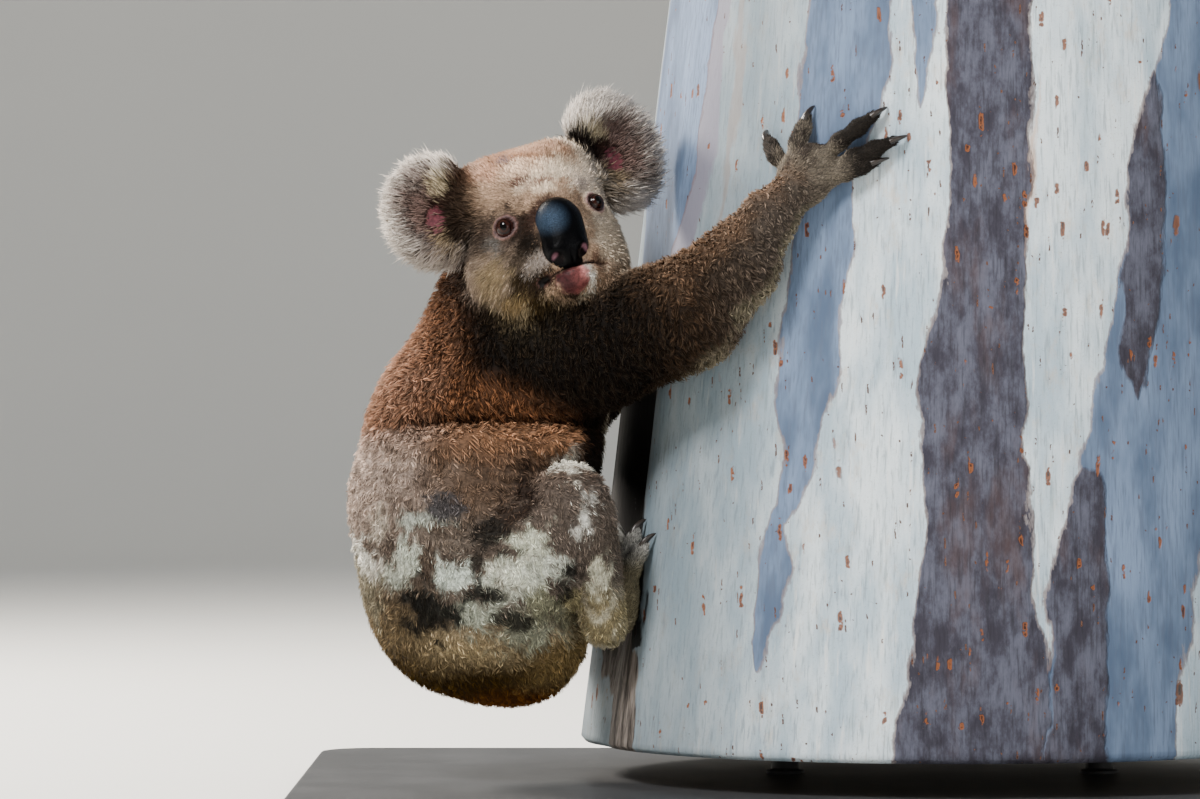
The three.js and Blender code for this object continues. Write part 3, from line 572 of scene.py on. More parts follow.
# Each part: how softly its masses run together, the length of its coat, and the masses.
FLESH = {
    "torso": (0.038, 0.0100, [
        oval(BODY, (-0.013, 0, 0.262), (0.106, 0.104, 0.110)),
        oval(BODY, (-0.005, 0, 0.182), (0.098, 0.100, 0.096)),
        oval(BODY, (0.038, 0, 0.146), (0.056, 0.080, 0.062)),
        oval(BODY, (0.028, 0, 0.300), (0.080, 0.084, 0.080)),
        oval(BODY, (0.008, 0, 0.346), (0.099, 0.092, 0.076)),
        oval(BODY, (0.030, 0, 0.390), (0.078, 0.086, 0.066)),
        oval(BODY, (0.024, -0.006, 0.440), (0.062, 0.058, 0.060)),
    ]),
    "head": (0.016, 0.0095, [
        oval(HEAD, (0, -0.008, 0.020), (0.061, 0.064, 0.060)),
        oval(HEAD, (0.031, -0.014, 0.042), (0.033, 0.048, 0.037)),
        oval(HEAD, (-0.031, -0.014, 0.042), (0.033, 0.048, 0.037)),
        oval(HEAD, (0.030, 0.002, -0.022), (0.036, 0.044, 0.046)),
        oval(HEAD, (-0.030, 0.002, -0.022), (0.036, 0.044, 0.046)),
        oval(HEAD, (0, 0.004, -0.046), (0.052, 0.046, 0.038)),
        oval(HEAD, (0, 0.036, -0.016), (0.034, 0.039, 0.034)),
        oval(HEAD, (0, 0.044, -0.049), (0.025, 0.028, 0.022)),
        oval(HEAD, (0.047, -0.006, -0.026), (0.029, 0.036, 0.034)),
        oval(HEAD, (-0.027, 0.022, -0.045), (0.028, 0.034, 0.029)),
    ]),
}
for name, side in (("right", right_side), ("left", left_side)):
    FLESH["arm_" + name] = (0.010, 0.0088, [
        limb(side["scapula"], side["shoulder"], 0.063, 0.058),
        limb(side["shoulder"], side["elbow"], 0.058, 0.050),
        limb(side["elbow"], side["forearm"], 0.050, 0.038),
        limb(side["forearm"], side["cuff"], 0.038, 0.025),
        limb(side["cuff"], side["wrist"], 0.025, 0.018),
    ])
    FLESH["thigh_" + name] = (0.014, 0.0100, [
        limb(side["hip"], side["thigh"], 0.076, 0.062), limb(side["thigh"], side["knee"], 0.062, 0.040),
    ])
    FLESH["shank_" + name] = (0.010, 0.0080, [limb(side["shin"], side["ankle"], 0.032, 0.024)])

# The paws, laid on the bark: the palm's radii and its lift off the bark, and for each digit its root (along
# the fingers, across to the thumb), its heading in degrees, its length and its radius.
HAND = ((0.031, 0.027, 0.015), 0.0155, (
    ((-0.014, 0.022), 95, 0.032, 0.0076), ((-0.001, 0.020), 43, 0.034, 0.0080),
    ((0.020, 0.004), 2, 0.053, 0.0080), ((0.024, -0.011), -13, 0.051, 0.0078),
    ((0.016, -0.017), -17, 0.037, 0.0074),
))
FOOT = ((0.038, 0.022, 0.014), 0.0145, (
    ((-0.008, 0.012), 72, 0.028, 0.0086), ((0.022, 0.012), 22, 0.023, 0.0056),
    ((0.022, 0.005), 14, 0.024, 0.0056), ((0.026, -0.003), -3, 0.027, 0.0074),
    ((0.018, -0.013), -21, 0.025, 0.0074),
))
# Each paw's plan, its palm's place round the bark and height, its fingers' slant and its side.
PAWS = {
    "hand_right": (HAND, -2.136, 0.540, 0.66, -1), "hand_left": (HAND, 2.46, 0.430, 0.70, 1),
    "foot_right": (FOOT, -2.68, 0.184, 1.6, -1), "foot_left": (FOOT, 2.68 + 2 * FACING, 0.184, 1.6, 1),
}


def paw_place(paw, along, across, lift):
    """A place on a paw, on the bark's unrolled surface."""
    _, angle, z, tilt, side = PAWS[paw]
    height = z + along * math.sin(tilt) + across * math.cos(tilt)
    turn = -side * (along * math.cos(tilt) - across * math.sin(tilt)) / log_radius(angle, height)
    return on_log(angle + turn, height, lift)


for paw, (plan, *_) in PAWS.items():
    size, lift, digits = plan
    middle = paw_place(paw, 0, 0, lift)
    along = unit(paw_place(paw, 0.001, 0, lift) - middle)
    away = unit(paw_place(paw, 0, 0, lift + 0.001) - middle)
    palm = (middle, np.array([along, unit(np.cross(away, along)), away]))
    masses = [oval(palm, (0, 0, 0), size)]
    for (x, y), toward, length, radius in digits:
        run = length * np.array([math.cos(math.radians(toward)), math.sin(math.radians(toward))])
        spots = [
            paw_place(paw, x + share * run[0], y + share * run[1], rise * radius)
            for share, rise in ((0, 1.5), (0.34, 1.9), (0.68, 1.5), (1, 1.15))
        ]
        for a, b, wide, thin in zip(spots, spots[1:], (1, 1.05, 1), (1.05, 1, 0.78)):
            masses.append(limb(a, b, wide * radius, thin * radius))
    FLESH[paw] = (0.006, 0.0046, masses)

# The ears: bowls of thin flesh that open forward, and a little outward.
EARS = {}
for name, side, at, radii, opening in (
    ("ear_right", 1, (0.079, -0.012, 0.046), (0.037, 0.013, 0.041), (0.42, 0.90, -0.05)),
    ("ear_left", -1, (-0.084, -0.012, 0.052), (0.039, 0.013, 0.043), (-0.36, 0.92, -0.05)),
):
    open_to = unit(np.array(opening) @ HEAD[1])
    across = unit(np.cross(open_to, HEAD[1][2]))
    own = (outside(HEAD, at), np.array([across, open_to, np.cross(across, open_to)]))
    EARS[name] = (own, outside(HEAD, (side * 0.050, -0.012, 0.030)), np.array(radii))
    FLESH[name] = (0.005, 0.0070, [oval(own, (0, -0.003, 0), radii)])
PARTS = list(FLESH)
EYES = {
    "eye_right": ((0.0392, 0.0358, 0.0072), (0.42, 0.90, 0.10)),
    "eye_left": ((-0.0418, 0.0347, 0.0055), (-0.30, 0.95, 0.10)),
}
EYE_RADIUS = 0.0088
EYE_OPENING = (0.0078, 0.0067)


def eye_frame(name):
    """An eye's middle and its axes: across, up, and out along its gaze."""
    at, toward = EYES[name]
    gaze = unit(np.array(toward) @ HEAD[1])
    across = unit(np.cross(HEAD[1][2], gaze))
    return outside(HEAD, at), np.array([across, np.cross(gaze, across), gaze])


def ripple(points, size, seed):
    """Smooth random values from -1 to 1, in features of that size."""
    cell = np.floor(points / size).astype(np.int64)
    part = points / size - cell
    part = part * part * (3 - 2 * part)
    total = np.zeros(len(points))
    for corner in range(8):
        step = np.array([corner & 1, corner >> 1 & 1, corner >> 2])
        key = (cell + step) @ np.array([73856093, 19349663, 83492791]) + seed * 40503
        key = (key ^ key >> 13) * 1274126177 & 0x7FFFFFFF
        value = (key ^ key >> 15) % 2048 / 1023.5 - 1
        total += np.where(step, part, 1 - part).prod(axis=1) * value
    return total


def above_fold(ahead, up):
    """How far above the fold between the back and the hip a place on the flank is."""
    return up - 0.332 + 0.6 * (ahead - 0.010) ** 2


def wool_rows(points):
    """The loins' wool stands in short uneven rows across the lie: from -1 on a row to 1 between two."""
    ahead, side, up = inside(BODY, points).T
    place = up + 0.15 * ahead + 0.006 * ripple(points, 0.028, 41) + 0.003 * ripple(points, 0.012, 42)
    return np.sin(math.tau * place / 0.0095) * ease(-0.9, 0.3, ripple(points, 0.022, 43))


def mouth_line(side, up):
    """How far above the mouth's line a place on the muzzle is."""
    return up + 0.0464 + 2.5 * side**2


def coat_length(points, part):
    """How long the coat grows on a part: short on the face, shortest at the nose, the eyes and the lips."""
    length = np.full(len(points), FLESH[part][1])
    if part == "head":
        side, ahead, up = inside(HEAD, points).T
        ruff = ease(0.03, 0.05, np.abs(side)) * ease(0.0, -0.035, up)
        length = 0.0090 + 0.0028 * ruff - 0.0048 * ease(-0.005, 0.046, ahead)
        bare = np.linalg.norm((inside(HEAD, points) - (0, 0.063, -0.030)) / (0.026, 0.030, 0.034), axis=1)
        length *= 0.55 + 0.45 * ease(0.8, 1.5, bare)
        for name in EYES:
            length *= 0.5 + 0.5 * ease(0.011, 0.024, np.linalg.norm(points - eye_frame(name)[0], axis=1))
    if part.startswith("arm"):
        wrist = FLESH[part][2][-1]["end"]
        length *= 0.52 + 0.48 * ease(0.015, 0.120, np.linalg.norm(points - wrist, axis=1))
    return length


def coat_depth(points, part):
    """How far the skin lies inside the tips of the coat: tufts lie flatter on the head and the paws."""
    share = 0.48 if part == "head" else 0.42 if part in PAWS else 0.64
    return share * coat_length(points, part)


def part_distances(points):
    """Signed distance from the skin of every part, one column each."""
    columns = []
    for part, (soft, _, masses) in FLESH.items():
        distance = run_together(soft, *[reach(mass, points) for mass in masses])
        if part in EARS:
            own = EARS[part][0]
            scoop = oval(own, (0, 0.010, 0), EARS[part][2] * (0.84, 1.30, 0.84))
            distance = -run_together(0.004, -distance, reach(scoop, points))
        else:
            distance = distance + coat_depth(points, part)
        columns.append(distance)
    return np.stack(columns, axis=1)


def skin_distance(points):
    """Signed distance from the whole skin, with its folds, lids and lips."""
    part = dict(zip(PARTS, part_distances(points).T))
    body = run_together(0.030, part["torso"], part["arm_right"], part["arm_left"])
    body = run_together(0.009, body, part["thigh_right"], part["thigh_left"])
    ahead, side, up = inside(BODY, points).T
    line = above_fold(ahead, up)
    flank = ease(0.03, 0.07, np.abs(side)) * ease(0.13, 0.07, np.abs(ahead - 0.01))
    body = body + flank * 0.013 * np.exp(-(((line - 0.001) / 0.008) ** 2))
    body = body - flank * 0.006 * np.exp(-(((line + 0.017) / 0.012) ** 2))
    loin = ease(0.19, 0.24, up) * ease(0.345, 0.32, up)
    body = body + 0.0012 * loin * wool_rows(points) - 0.0008 * ripple(points, 0.010, 44)
    body = run_together(0.010, body, part["shank_right"], part["shank_left"])
    for paw in ("hand_right", "hand_left", "foot_right", "foot_left"):
        body = run_together(0.012, body, part[paw])
    side, ahead, up = inside(HEAD, points).T
    front = ease(0.035, 0.050, ahead)
    slit = np.exp(-((mouth_line(side, up) / 0.0022) ** 2)) * ease(0.031, 0.026, np.abs(side))
    head = part["head"] + front * 0.0038 * slit
    corner = np.hypot((np.abs(side) - 0.0255) / 0.0065, (up + 0.0482) / 0.0052)
    head = head + front * 0.0045 * ease(1.3, 0.3, corner)
    off = (side - 0.0055) / 0.0150, (ahead - 0.062) / 0.018, (up + 0.0585) / 0.0125
    head = head - 0.0050 * ease(1.4, 0.4, np.linalg.norm(off, axis=0))
    groove = np.exp(-((side / 0.0022) ** 2)) * np.exp(-(((up + 0.047) / 0.003) ** 2))
    head = head + front * 0.0015 * groove
    for sign in (1, -1):
        off = (side - sign * 0.0205) / 0.013, (ahead - 0.054) / 0.018, (up + 0.0370) / 0.0085
        head = head - 0.0026 * ease(1.3, 0.3, np.linalg.norm(off, axis=0))
    for name in EYES:
        across, high, out = inside(eye_frame(name), points).T
        far = np.hypot(across / EYE_OPENING[0], high / EYE_OPENING[1])
        lid = np.hypot((far - 1) * 0.0085, out - 0.0046) - 0.0018
        socket = 0.0025 * np.exp(-(((far - 2.0) / 0.55) ** 2)) * (out > -0.004)
        hollow = 0.0060 * ease(1.06, 0.84, far) * (out > -0.004)
        head = run_together(0.0026, head + socket + hollow, lid)
    whole = run_together(0.010, body, head)
    return run_together(0.006, whole, part["ear_right"], part["ear_left"])


def slope(distance, points, step=0.0004):
    """A distance's gradient, from four samples round each point."""
    total = np.zeros_like(points)
    for corner in np.array([(1, -1, -1), (-1, -1, 1), (-1, 1, -1), (1, 1, 1)]):
        total += corner * distance(points + step * corner)[:, None]
    return total / (4 * step)


def out_of_log(points, lift):
    """Points moved off the bark where they are inside it."""
    middle = LOG_AXIS + LOG_LEAN * log_share(points[:, 2:]) * (1, 0)
    off = points[:, :2] - middle
    angle = np.arctan2(off[:, 1], off[:, 0])
    least = log_radius(angle, points[:, 2]) + lift
    radius = np.maximum(np.linalg.norm(off, axis=1), least)
    out = points.copy()
    out[:, :2] = middle + radius[:, None] * np.stack([np.cos(angle), np.sin(angle)], axis=1)
    return out


def settle(distance, points, turns, step=0.0004, most=0.004):
    """Points brought onto the surface where a distance is nought."""
    for _ in range(turns):
        g = slope(distance, points, step)
        move = distance(points) / np.maximum((g * g).sum(axis=1), 0.3)
        points = points - np.clip(move, -most, most)[:, None] * g
    return points


def evened(bm, size):
    """The outer surface of a bmesh's overlapping bodies, as a new mesh with even faces of that size."""
    rough = piece("rough", bm)
    remesh = rough.modifiers.new("voxels", "REMESH")
    remesh.mode = "VOXEL"
    remesh.voxel_size = size
    bpy.context.view_layer.update()
    even = bpy.data.meshes.new_from_object(rough.evaluated_get(bpy.context.evaluated_depsgraph_get()))
    bpy.data.objects.remove(rough)
    return even


def listed(items, label, kind, width):
    """One property of a mesh's items as an array, a row to each."""
    flat = np.empty(width * len(items), kind)
    items.foreach_get(label, flat)
    return flat.reshape(-1, width)


def places(mesh):
    """A mesh's points as an array."""
    return listed(mesh.vertices, "co", np.float32, 3).astype(float)


def put(bm, points):
    """Moves a bmesh's points to new places."""
    for v, co in zip(bm.verts, points):
        v.co = co


bm = bmesh.new()
for part, (_, length, masses) in FLESH.items():
    inset = 0.0 if part in EARS else 0.6 * length
    for mass in masses:
        if "frame" in mass:
            turn = Matrix(mass["frame"][1].T.tolist()).to_4x4()
            centre = Matrix.Translation(outside(mass["frame"], mass["centre"]))
            placed = centre @ turn @ Matrix.Diagonal((*(mass["radii"] - inset), 1))
            ball = bmesh.ops.create_icosphere(bm, subdivisions=4, radius=1, matrix=placed)["verts"]
            if part in EARS:
                own, _, radii = EARS[part]
                for v in ball:
                    x, y, z = inside(own, np.array(v.co))
                    off = min(1.0, math.hypot(x / (0.84 * radii[0]), z / (0.84 * radii[2])))
                    v.co = outside(own, (x, min(y, 0.010 - 1.30 * radii[1] * math.sqrt(1 - off * off)), z))
            continue
        line = Vector(mass["end"] - mass["start"])
        turn = line.to_track_quat("Z", "Y").to_matrix().to_4x4()
        centre = Matrix.Translation(Vector(mass["start"] + mass["end"]) / 2)
        wide, thin = (radius - inset for radius in mass["radius"])
        bmesh.ops.create_cone(bm, cap_ends=True, segments=32, radius1=wide, radius2=thin, depth=line.length,
                              matrix=centre @ turn)
        for end, radius in ((mass["start"], wide), (mass["end"], thin)):
            bmesh.ops.create_icosphere(bm, subdivisions=3, radius=radius, matrix=Matrix.Translation(end))
even = evened(bm, 0.0030)

# The mesh is finer round the eyes and the mouth.
bm = bmesh.new()
bm.from_mesh(even)
put(bm, settle(skin_distance, places(even), 5))
spots = [(Vector(eye_frame(name)[0]), 0.017) for name in EYES]
spots.append((Vector(outside(HEAD, (0, 0.062, -0.042))), 0.026))
for _ in range(2):
    near = [e for e in bm.edges if any((e.verts[0].co - spot).length < radius for spot, radius in spots)]
    bmesh.ops.subdivide_edges(bm, edges=near, cuts=1, use_grid_fill=True)
bmesh.ops.smooth_vert(bm, verts=bm.verts, factor=0.5, use_axis_x=True, use_axis_y=True, use_axis_z=True)
points = settle(skin_distance, np.array([v.co for v in bm.verts]), 3)
put(bm, out_of_log(points, 0.0012))
bmesh.ops.recalc_face_normals(bm, faces=bm.faces)
skin = piece("skin", bm)
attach(skin, "root")
limbs = ("upper_arm", "forearm", "hand", "thigh", "shank", "foot")
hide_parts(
    "head", "neck", "chest", "loins", "rump", "ear_right", "ear_left",
    *[f"{part}_{side}" for part in limbs for side in ("right", "left")],
)

# ---- Coat colours and painted light ----
# The colours that the hide and the coat share: rust and dark brown over the shoulders, taupe over the loins,
# a rump dappled with cream and charcoal, pale underparts, a tan head, grey ears with pale fringes. Painted
# shade darkens the nape, the chin, the chest behind the arm, the fold over the hip, the groove between hip
# and thigh, the arm's shoulder end, the right eye's socket, the mouth, the lids' edges and the ears' roots
# and bowls.
# Painted light brightens the back's rear edge, the hip's top, the arms' upper sides and the face's left side.


def tint(code):
    """A colour's three numbers."""
    return np.array(hue(code)[:3])


def shifted_towards(base, code, share):
    """A coat's colours changed towards another by a share of 0 to 1."""
    return base + (tint(code) - base) * np.clip(share, 0, 1)[:, None]


def shares(distances, soft=0.006):
    """How far each point belongs to each part."""
    weight = np.exp(-(distances - distances.min(axis=1, keepdims=True)) / soft)
    return dict(zip(PARTS, (weight / weight.sum(axis=1, keepdims=True)).T))


# On the right side: colour, place along and up the side, half length and half height. The two dark brown
# ones at -0.250 and -0.264 along are painted shade in the groove between the hip and the thigh.
DAPPLES_AND_SHADE = (
    ("#e9ecda", -0.251, 0.203, 0.034, 0.020), ("#dfe4d6", -0.230, 0.209, 0.019, 0.013),
    ("#dfe2cd", -0.249, 0.229, 0.019, 0.014), ("#dbe4d8", -0.310, 0.204, 0.020, 0.015),
    ("#d6dccd", -0.350, 0.217, 0.017, 0.011), ("#c9cdbe", -0.358, 0.199, 0.016, 0.012),
    ("#e6e3d8", -0.385, 0.206, 0.013, 0.017), ("#8f8670", -0.381, 0.180, 0.013, 0.018),
    ("#babfb4", -0.340, 0.249, 0.019, 0.007), ("#c3b7a8", -0.372, 0.245, 0.007, 0.016),
    ("#c6ccba", -0.291, 0.168, 0.021, 0.015), ("#b9bba4", -0.247, 0.155, 0.027, 0.014),
    ("#a9a88c", -0.224, 0.177, 0.018, 0.015), ("#b3a77f", -0.207, 0.181, 0.010, 0.010),
    ("#fffaea", -0.207, 0.298, 0.018, 0.009), ("#f0efe6", -0.1985, 0.250, 0.009, 0.015),
    ("#e2dfc8", -0.186, 0.204, 0.009, 0.014), ("#3f3129", -0.250, 0.273, 0.009, 0.017),
    ("#43352c", -0.264, 0.250, 0.010, 0.014), ("#24221e", -0.325, 0.167, 0.020, 0.016),
    ("#25231f", -0.347, 0.182, 0.014, 0.008), ("#2b2925", -0.334, 0.197, 0.006, 0.009),
    ("#35302b", -0.283, 0.233, 0.012, 0.015), ("#2a2824", -0.261, 0.222, 0.012, 0.004),
    ("#2e2c27", -0.285, 0.186, 0.018, 0.006), ("#5a5658", -0.318, 0.260, 0.013, 0.008),
    ("#2b2824", -0.207, 0.206, 0.009, 0.006), ("#34312b", -0.218, 0.190, 0.008, 0.008),
    ("#45433b", -0.266, 0.163, 0.014, 0.007),
    ("#3c342d", -0.289, 0.213, 0.005, 0.012), ("#6b5b4f", -0.331, 0.214, 0.005, 0.015),
    ("#63564c", -0.365, 0.225, 0.005, 0.013),
)
# On the face: colour, place across and up, half width and half height.
# Some rows are painted shade: the dark ones round the right eye, #4d4038, #2e231d, #1a1511 and #4c4239, are
# partly painted shade of its socket; #2b2113 under the muzzle, #241b13 at the mouth's corner, and #3c2e17 and
# #0f0b04 under the chin are painted shade.
FACE = (
    # The second row here, pale on the animal's left brow, is partly painted light.
    ("#f0dcc2", -0.013, 0.038, 0.030, 0.014), ("#f6e2cc", -0.036, 0.029, 0.016, 0.015),
    ("#cdb299", 0.014, 0.052, 0.018, 0.010), ("#a07c66", 0.038, 0.058, 0.013, 0.010),
    ("#a5846e", -0.012, 0.066, 0.016, 0.006), ("#4d4038", 0.040, 0.003, 0.024, 0.023),
    ("#5d423b", 0.019, 0.040, 0.011, 0.0035), ("#7d594c", 0.001, 0.034, 0.010, 0.0028),
    ("#b09078", -0.017, 0.028, 0.008, 0.0026), ("#5f555c", 0.018, 0.063, 0.006, 0.004),
    ("#2e231d", 0.0290, 0.001, 0.0095, 0.0190), ("#b5a69c", -0.034, 0.0235, 0.006, 0.005),
    ("#1a1511", 0.0320, -0.0170, 0.0105, 0.0120), ("#4c4239", 0.0415, -0.028, 0.008, 0.012),
    ("#686460", 0.052, -0.005, 0.005, 0.011), ("#978569", 0.060, -0.030, 0.014, 0.018),
    # The second row here, pale on the animal's left cheek, is partly painted light.
    ("#9d918a", -0.040, -0.010, 0.005, 0.006), ("#cdbda9", -0.042, -0.032, 0.015, 0.026),
    ("#2b2113", 0.0370, -0.0460, 0.0160, 0.0140), ("#8f7a58", 0.052, -0.057, 0.012, 0.009),
    ("#3c2e17", 0.033, -0.068, 0.018, 0.010), ("#0f0b04", 0.013, -0.076, 0.028, 0.014),
    ("#928881", 0.029, -0.0320, 0.0085, 0.0070), ("#745a4b", -0.0205, -0.047, 0.003, 0.008),
    ("#ece8de", -0.0100, -0.0610, 0.0060, 0.0110), ("#b9b09a", -0.004, -0.0715, 0.0075, 0.0028),
    ("#241b13", 0.0270, -0.0490, 0.0095, 0.0072),
)


def along_masses(part, points):
    """The direction of a part's stretches at points near them."""
    total = np.zeros_like(points)
    for mass in FLESH[part][2]:
        heading = mass["frame"][1][0] if "frame" in mass else unit(mass["end"] - mass["start"])
        total += np.exp(-np.clip(reach(mass, points), -0.05, 0.2) / 0.006)[:, None] * heading
    return unit(total)


def coat_colours_and_light(points, normals, near):
    """The coat's colour at points of the hide, with painted shade and painted light in places."""
    ahead, side, up = inside(BODY, points).T
    wide = ripple(points, 0.045, 3)
    small = ripple(points, 0.014, 5)
    fine = ripple(points, 0.006, 7)
    above = above_fold(ahead, up)
    torso = np.tile(tint("#cdb78e"), (len(points), 1))
    torso = shifted_towards(torso, "#85776b", ease(0.140, 0.182, up + 0.018 * wide))
    torso = shifted_towards(torso, "#7d6655", ease(0.240, 0.275, up + 0.015 * wide + 0.006 * small))
    # Paler along the rear edge of the loins: painted rim light.
    torso = shifted_towards(torso, "#c4afa2", 0.85 * ease(-0.040, -0.098, ahead + 0.016 * small) * ease(0.20, 0.27, up))
    # Orange-brown below the fold over the hip: partly the coat's own colour, partly a painted highlight where
    # the hip's top takes the light.
    torso = shifted_towards(torso, "#b88663", ease(-0.042, -0.006, above + 0.008 * small) * ease(-0.09, 0.01, ahead))
    torso = shifted_towards(torso, "#6d4830", ease(-0.006, 0.006, above + 0.004 * small))
    # Painted shade at the nape, under the back of the head.
    nape_shade = ease(0.356, 0.384, up + 0.008 * wide + 0.15 * ahead)
    torso = shifted_towards(torso, "#1a110b", nape_shade * ease(-0.05, -0.01, ahead))
    # Warmer and paler along the upper back's rear edge: painted rim light.
    torso = shifted_towards(torso, "#af836a", 0.85 * ease(-0.025, -0.090, ahead + 0.012 * small) * ease(0.29, 0.36, up))
    # Painted shade under the chin and down the front of the neck.
    torso = shifted_towards(torso, "#0e0906", ease(0.360, 0.400, up + 0.01 * wide) * ease(-0.010, 0.040, ahead))
    torso = shifted_towards(torso, "#6f5d43", 0.85 * ease(-0.04, -0.08, ahead) * ease(0.21, 0.17, up))
    torso = shifted_towards(torso, "#4f3a12", ease(0.142, 0.112, up + 0.010 * wide))
    low_belly = 0.9 * ease(0.000, 0.045, ahead + 0.010 * small) * ease(0.028, 0.016, np.abs(up - 0.122))
    torso = shifted_towards(torso, "#a88d5c", low_belly)
    torso = shifted_towards(torso, "#93591f", ease(0.108, 0.080, up + 0.006 * wide))
    mottle = ease(0.20, 0.75, fine + 0.4 * small) * ease(0.16, 0.20, up) * ease(0.325, 0.300, up)
    torso = shifted_towards(torso, "#40322a", 0.50 * mottle)
    # Painted shade along the fold where the back overhangs the hip.
    flank = ease(0.02, 0.06, np.abs(side)) * ease(0.13, 0.08, np.abs(ahead))
    torso = shifted_towards(torso, "#150d09", 0.62 * flank * np.exp(-(((above - 0.003) / 0.0048) ** 2)))
    thigh = shifted_towards(torso, "#7c6f66", ease(0.31, 0.27, up + 0.012 * wide) * ease(-0.02, 0.05, ahead))
    # Painted shade on the chest behind the arm, on the side towards the trunk.
    torso = shifted_towards(torso, "#1c130e", ease(0.060, 0.080, ahead) * ease(0.24, 0.27, up))
    torso = shifted_towards(torso, "#cbbfa6", ease(0.100, 0.118, ahead + 0.006 * small) * ease(0.07, 0.12, up))
    shank = np.tile(tint("#b0a17b"), (len(points), 1))
    shank = shifted_towards(shank, "#d3cbb1", ease(0.0, 0.8, fine + small))
    shank = shifted_towards(shank, "#766a60", ease(0.176, 0.206, up + 0.008 * small))
    sign = np.where(side > 0, 1.0, 0.0)
    mirrored = points - 2 * (sign * side)[:, None] * LEFT + sign[:, None] * np.array([0.006, 0, -0.010])
    for code, x, z, length, height in DAPPLES_AND_SHADE:
        off = np.hypot((mirrored[:, 0] - x) / length, (mirrored[:, 2] - z) / height)
        share = ease(1.50, 0.70, off + 0.75 * small + 0.85 * fine)
        torso = shifted_towards(torso, code, share * 0.96 * ease(0.075, 0.055, ahead))
        thigh = shifted_towards(thigh, code, share * 0.96)
        shank = shifted_towards(shank, code, share * 0.96)
    arm = np.tile(tint("#3f3024"), (len(points), 1))
    arm = shifted_towards(arm, "#675c53", ease(0.135, 0.215, ahead + 0.012 * wide))
    # Lighter and warmer where the arm faces up: painted light.
    arm = shifted_towards(arm, "#8a6c55", 0.8 * ease(0.0, 0.75, normals[:, 2] + 0.2 * small) * ease(0.08, 0.13, ahead))
    arm = shifted_towards(arm, "#a08f80", ease(0.15, 0.70, normals[:, 2] + 0.2 * small) * ease(0.215, 0.255, ahead))
    # Painted shade where the arm meets the shoulder.
    arm = shifted_towards(arm, "#19120c", ease(0.152, 0.08, ahead + 0.50 * (up - 0.41)))
    ways = (along_masses(part, points) for part in ("arm_right", "arm_left"))
    limb_way = np.where(side[:, None] < 0, *ways)
    below = unit(limb_way[:, 2:] * limb_way - UP)
    underside = ease(0.80, 0.98, (normals * below).sum(axis=1) + 0.06 * small) * ease(0.13, 0.17, ahead)
    arm = shifted_towards(arm, "#968e76", 0.8 * underside)
    foot = shifted_towards(np.tile(tint("#807861"), (len(points), 1)), "#a5a39d", ease(0.200, 0.222, up))
    hand = shifted_towards(np.tile(tint("#857b6d"), (len(points), 1)), "#4a423c", ease(-0.3, 0.7, small + fine))
    for paw in ("hand_right", "hand_left"):
        far = np.linalg.norm(points - paw_place(paw, 0.006, 0, 0.012), axis=1)
        hand = shifted_towards(hand, "#322d29", ease(0.024, 0.046, far + 0.010 * small + 0.006 * fine) * (far < 0.1))
    x, y, z = inside(HEAD, points).T
    head = np.tile(tint("#a88d76"), (len(points), 1))
    patchy = ease(-0.4, 0.5, small + 0.5 * fine)
    head = shifted_towards(head, "#7d5a44", 0.90 * ease(0.042, 0.070, z + 0.01 * wide) * patchy)
    head = shifted_towards(head, "#8c7b6e", ease(0.0, -0.04, y + 0.01 * small))
    head = shifted_towards(head, "#805a43", 0.8 * ease(0.044, 0.064, z + 0.006 * wide) * ease(-0.02, 0.015, x))
    head = shifted_towards(head, "#8f8276", 0.7 * ease(0.020, 0.045, x) * ease(0.035, 0.0, z))
    head = shifted_towards(head, "#9c8d70", ease(-0.036, -0.062, z + 0.006 * small) * ease(0.052, 0.030, y))
    # Paler on the animal's left cheek and side of the face: partly painted light.
    head = shifted_towards(head, "#cfbea9", ease(-0.030, -0.050, x + 0.006 * small) * ease(-0.03, 0.0, y))
    for code, across, high, width, height in FACE:
        off = np.hypot((x - across) / width, (z - high) / height)
        share = ease(-0.01, 0.02, y) * 0.94 * ease(1.35, 0.55, off + 0.40 * small + 0.50 * fine)
        head = shifted_towards(head, code, share)
    brow = 0.9 * ease(1.28, 1.12, np.hypot(x / 0.0203, (z + 0.007) / 0.0232) + 0.05 * fine)
    head = shifted_towards(head, "#3d2b25", brow * ease(-0.012, 0.004, z) * ease(-0.010, 0.000, x))
    # Painted shade between each ear and the head.
    ear_root_shade = np.linalg.norm((x - 0.063, y + 0.002, 0.8 * (z - 0.034)), axis=0)
    head = shifted_towards(head, "#21160f", 0.92 * ease(0.046, 0.018, ear_root_shade + 0.008 * small + 0.004 * fine))
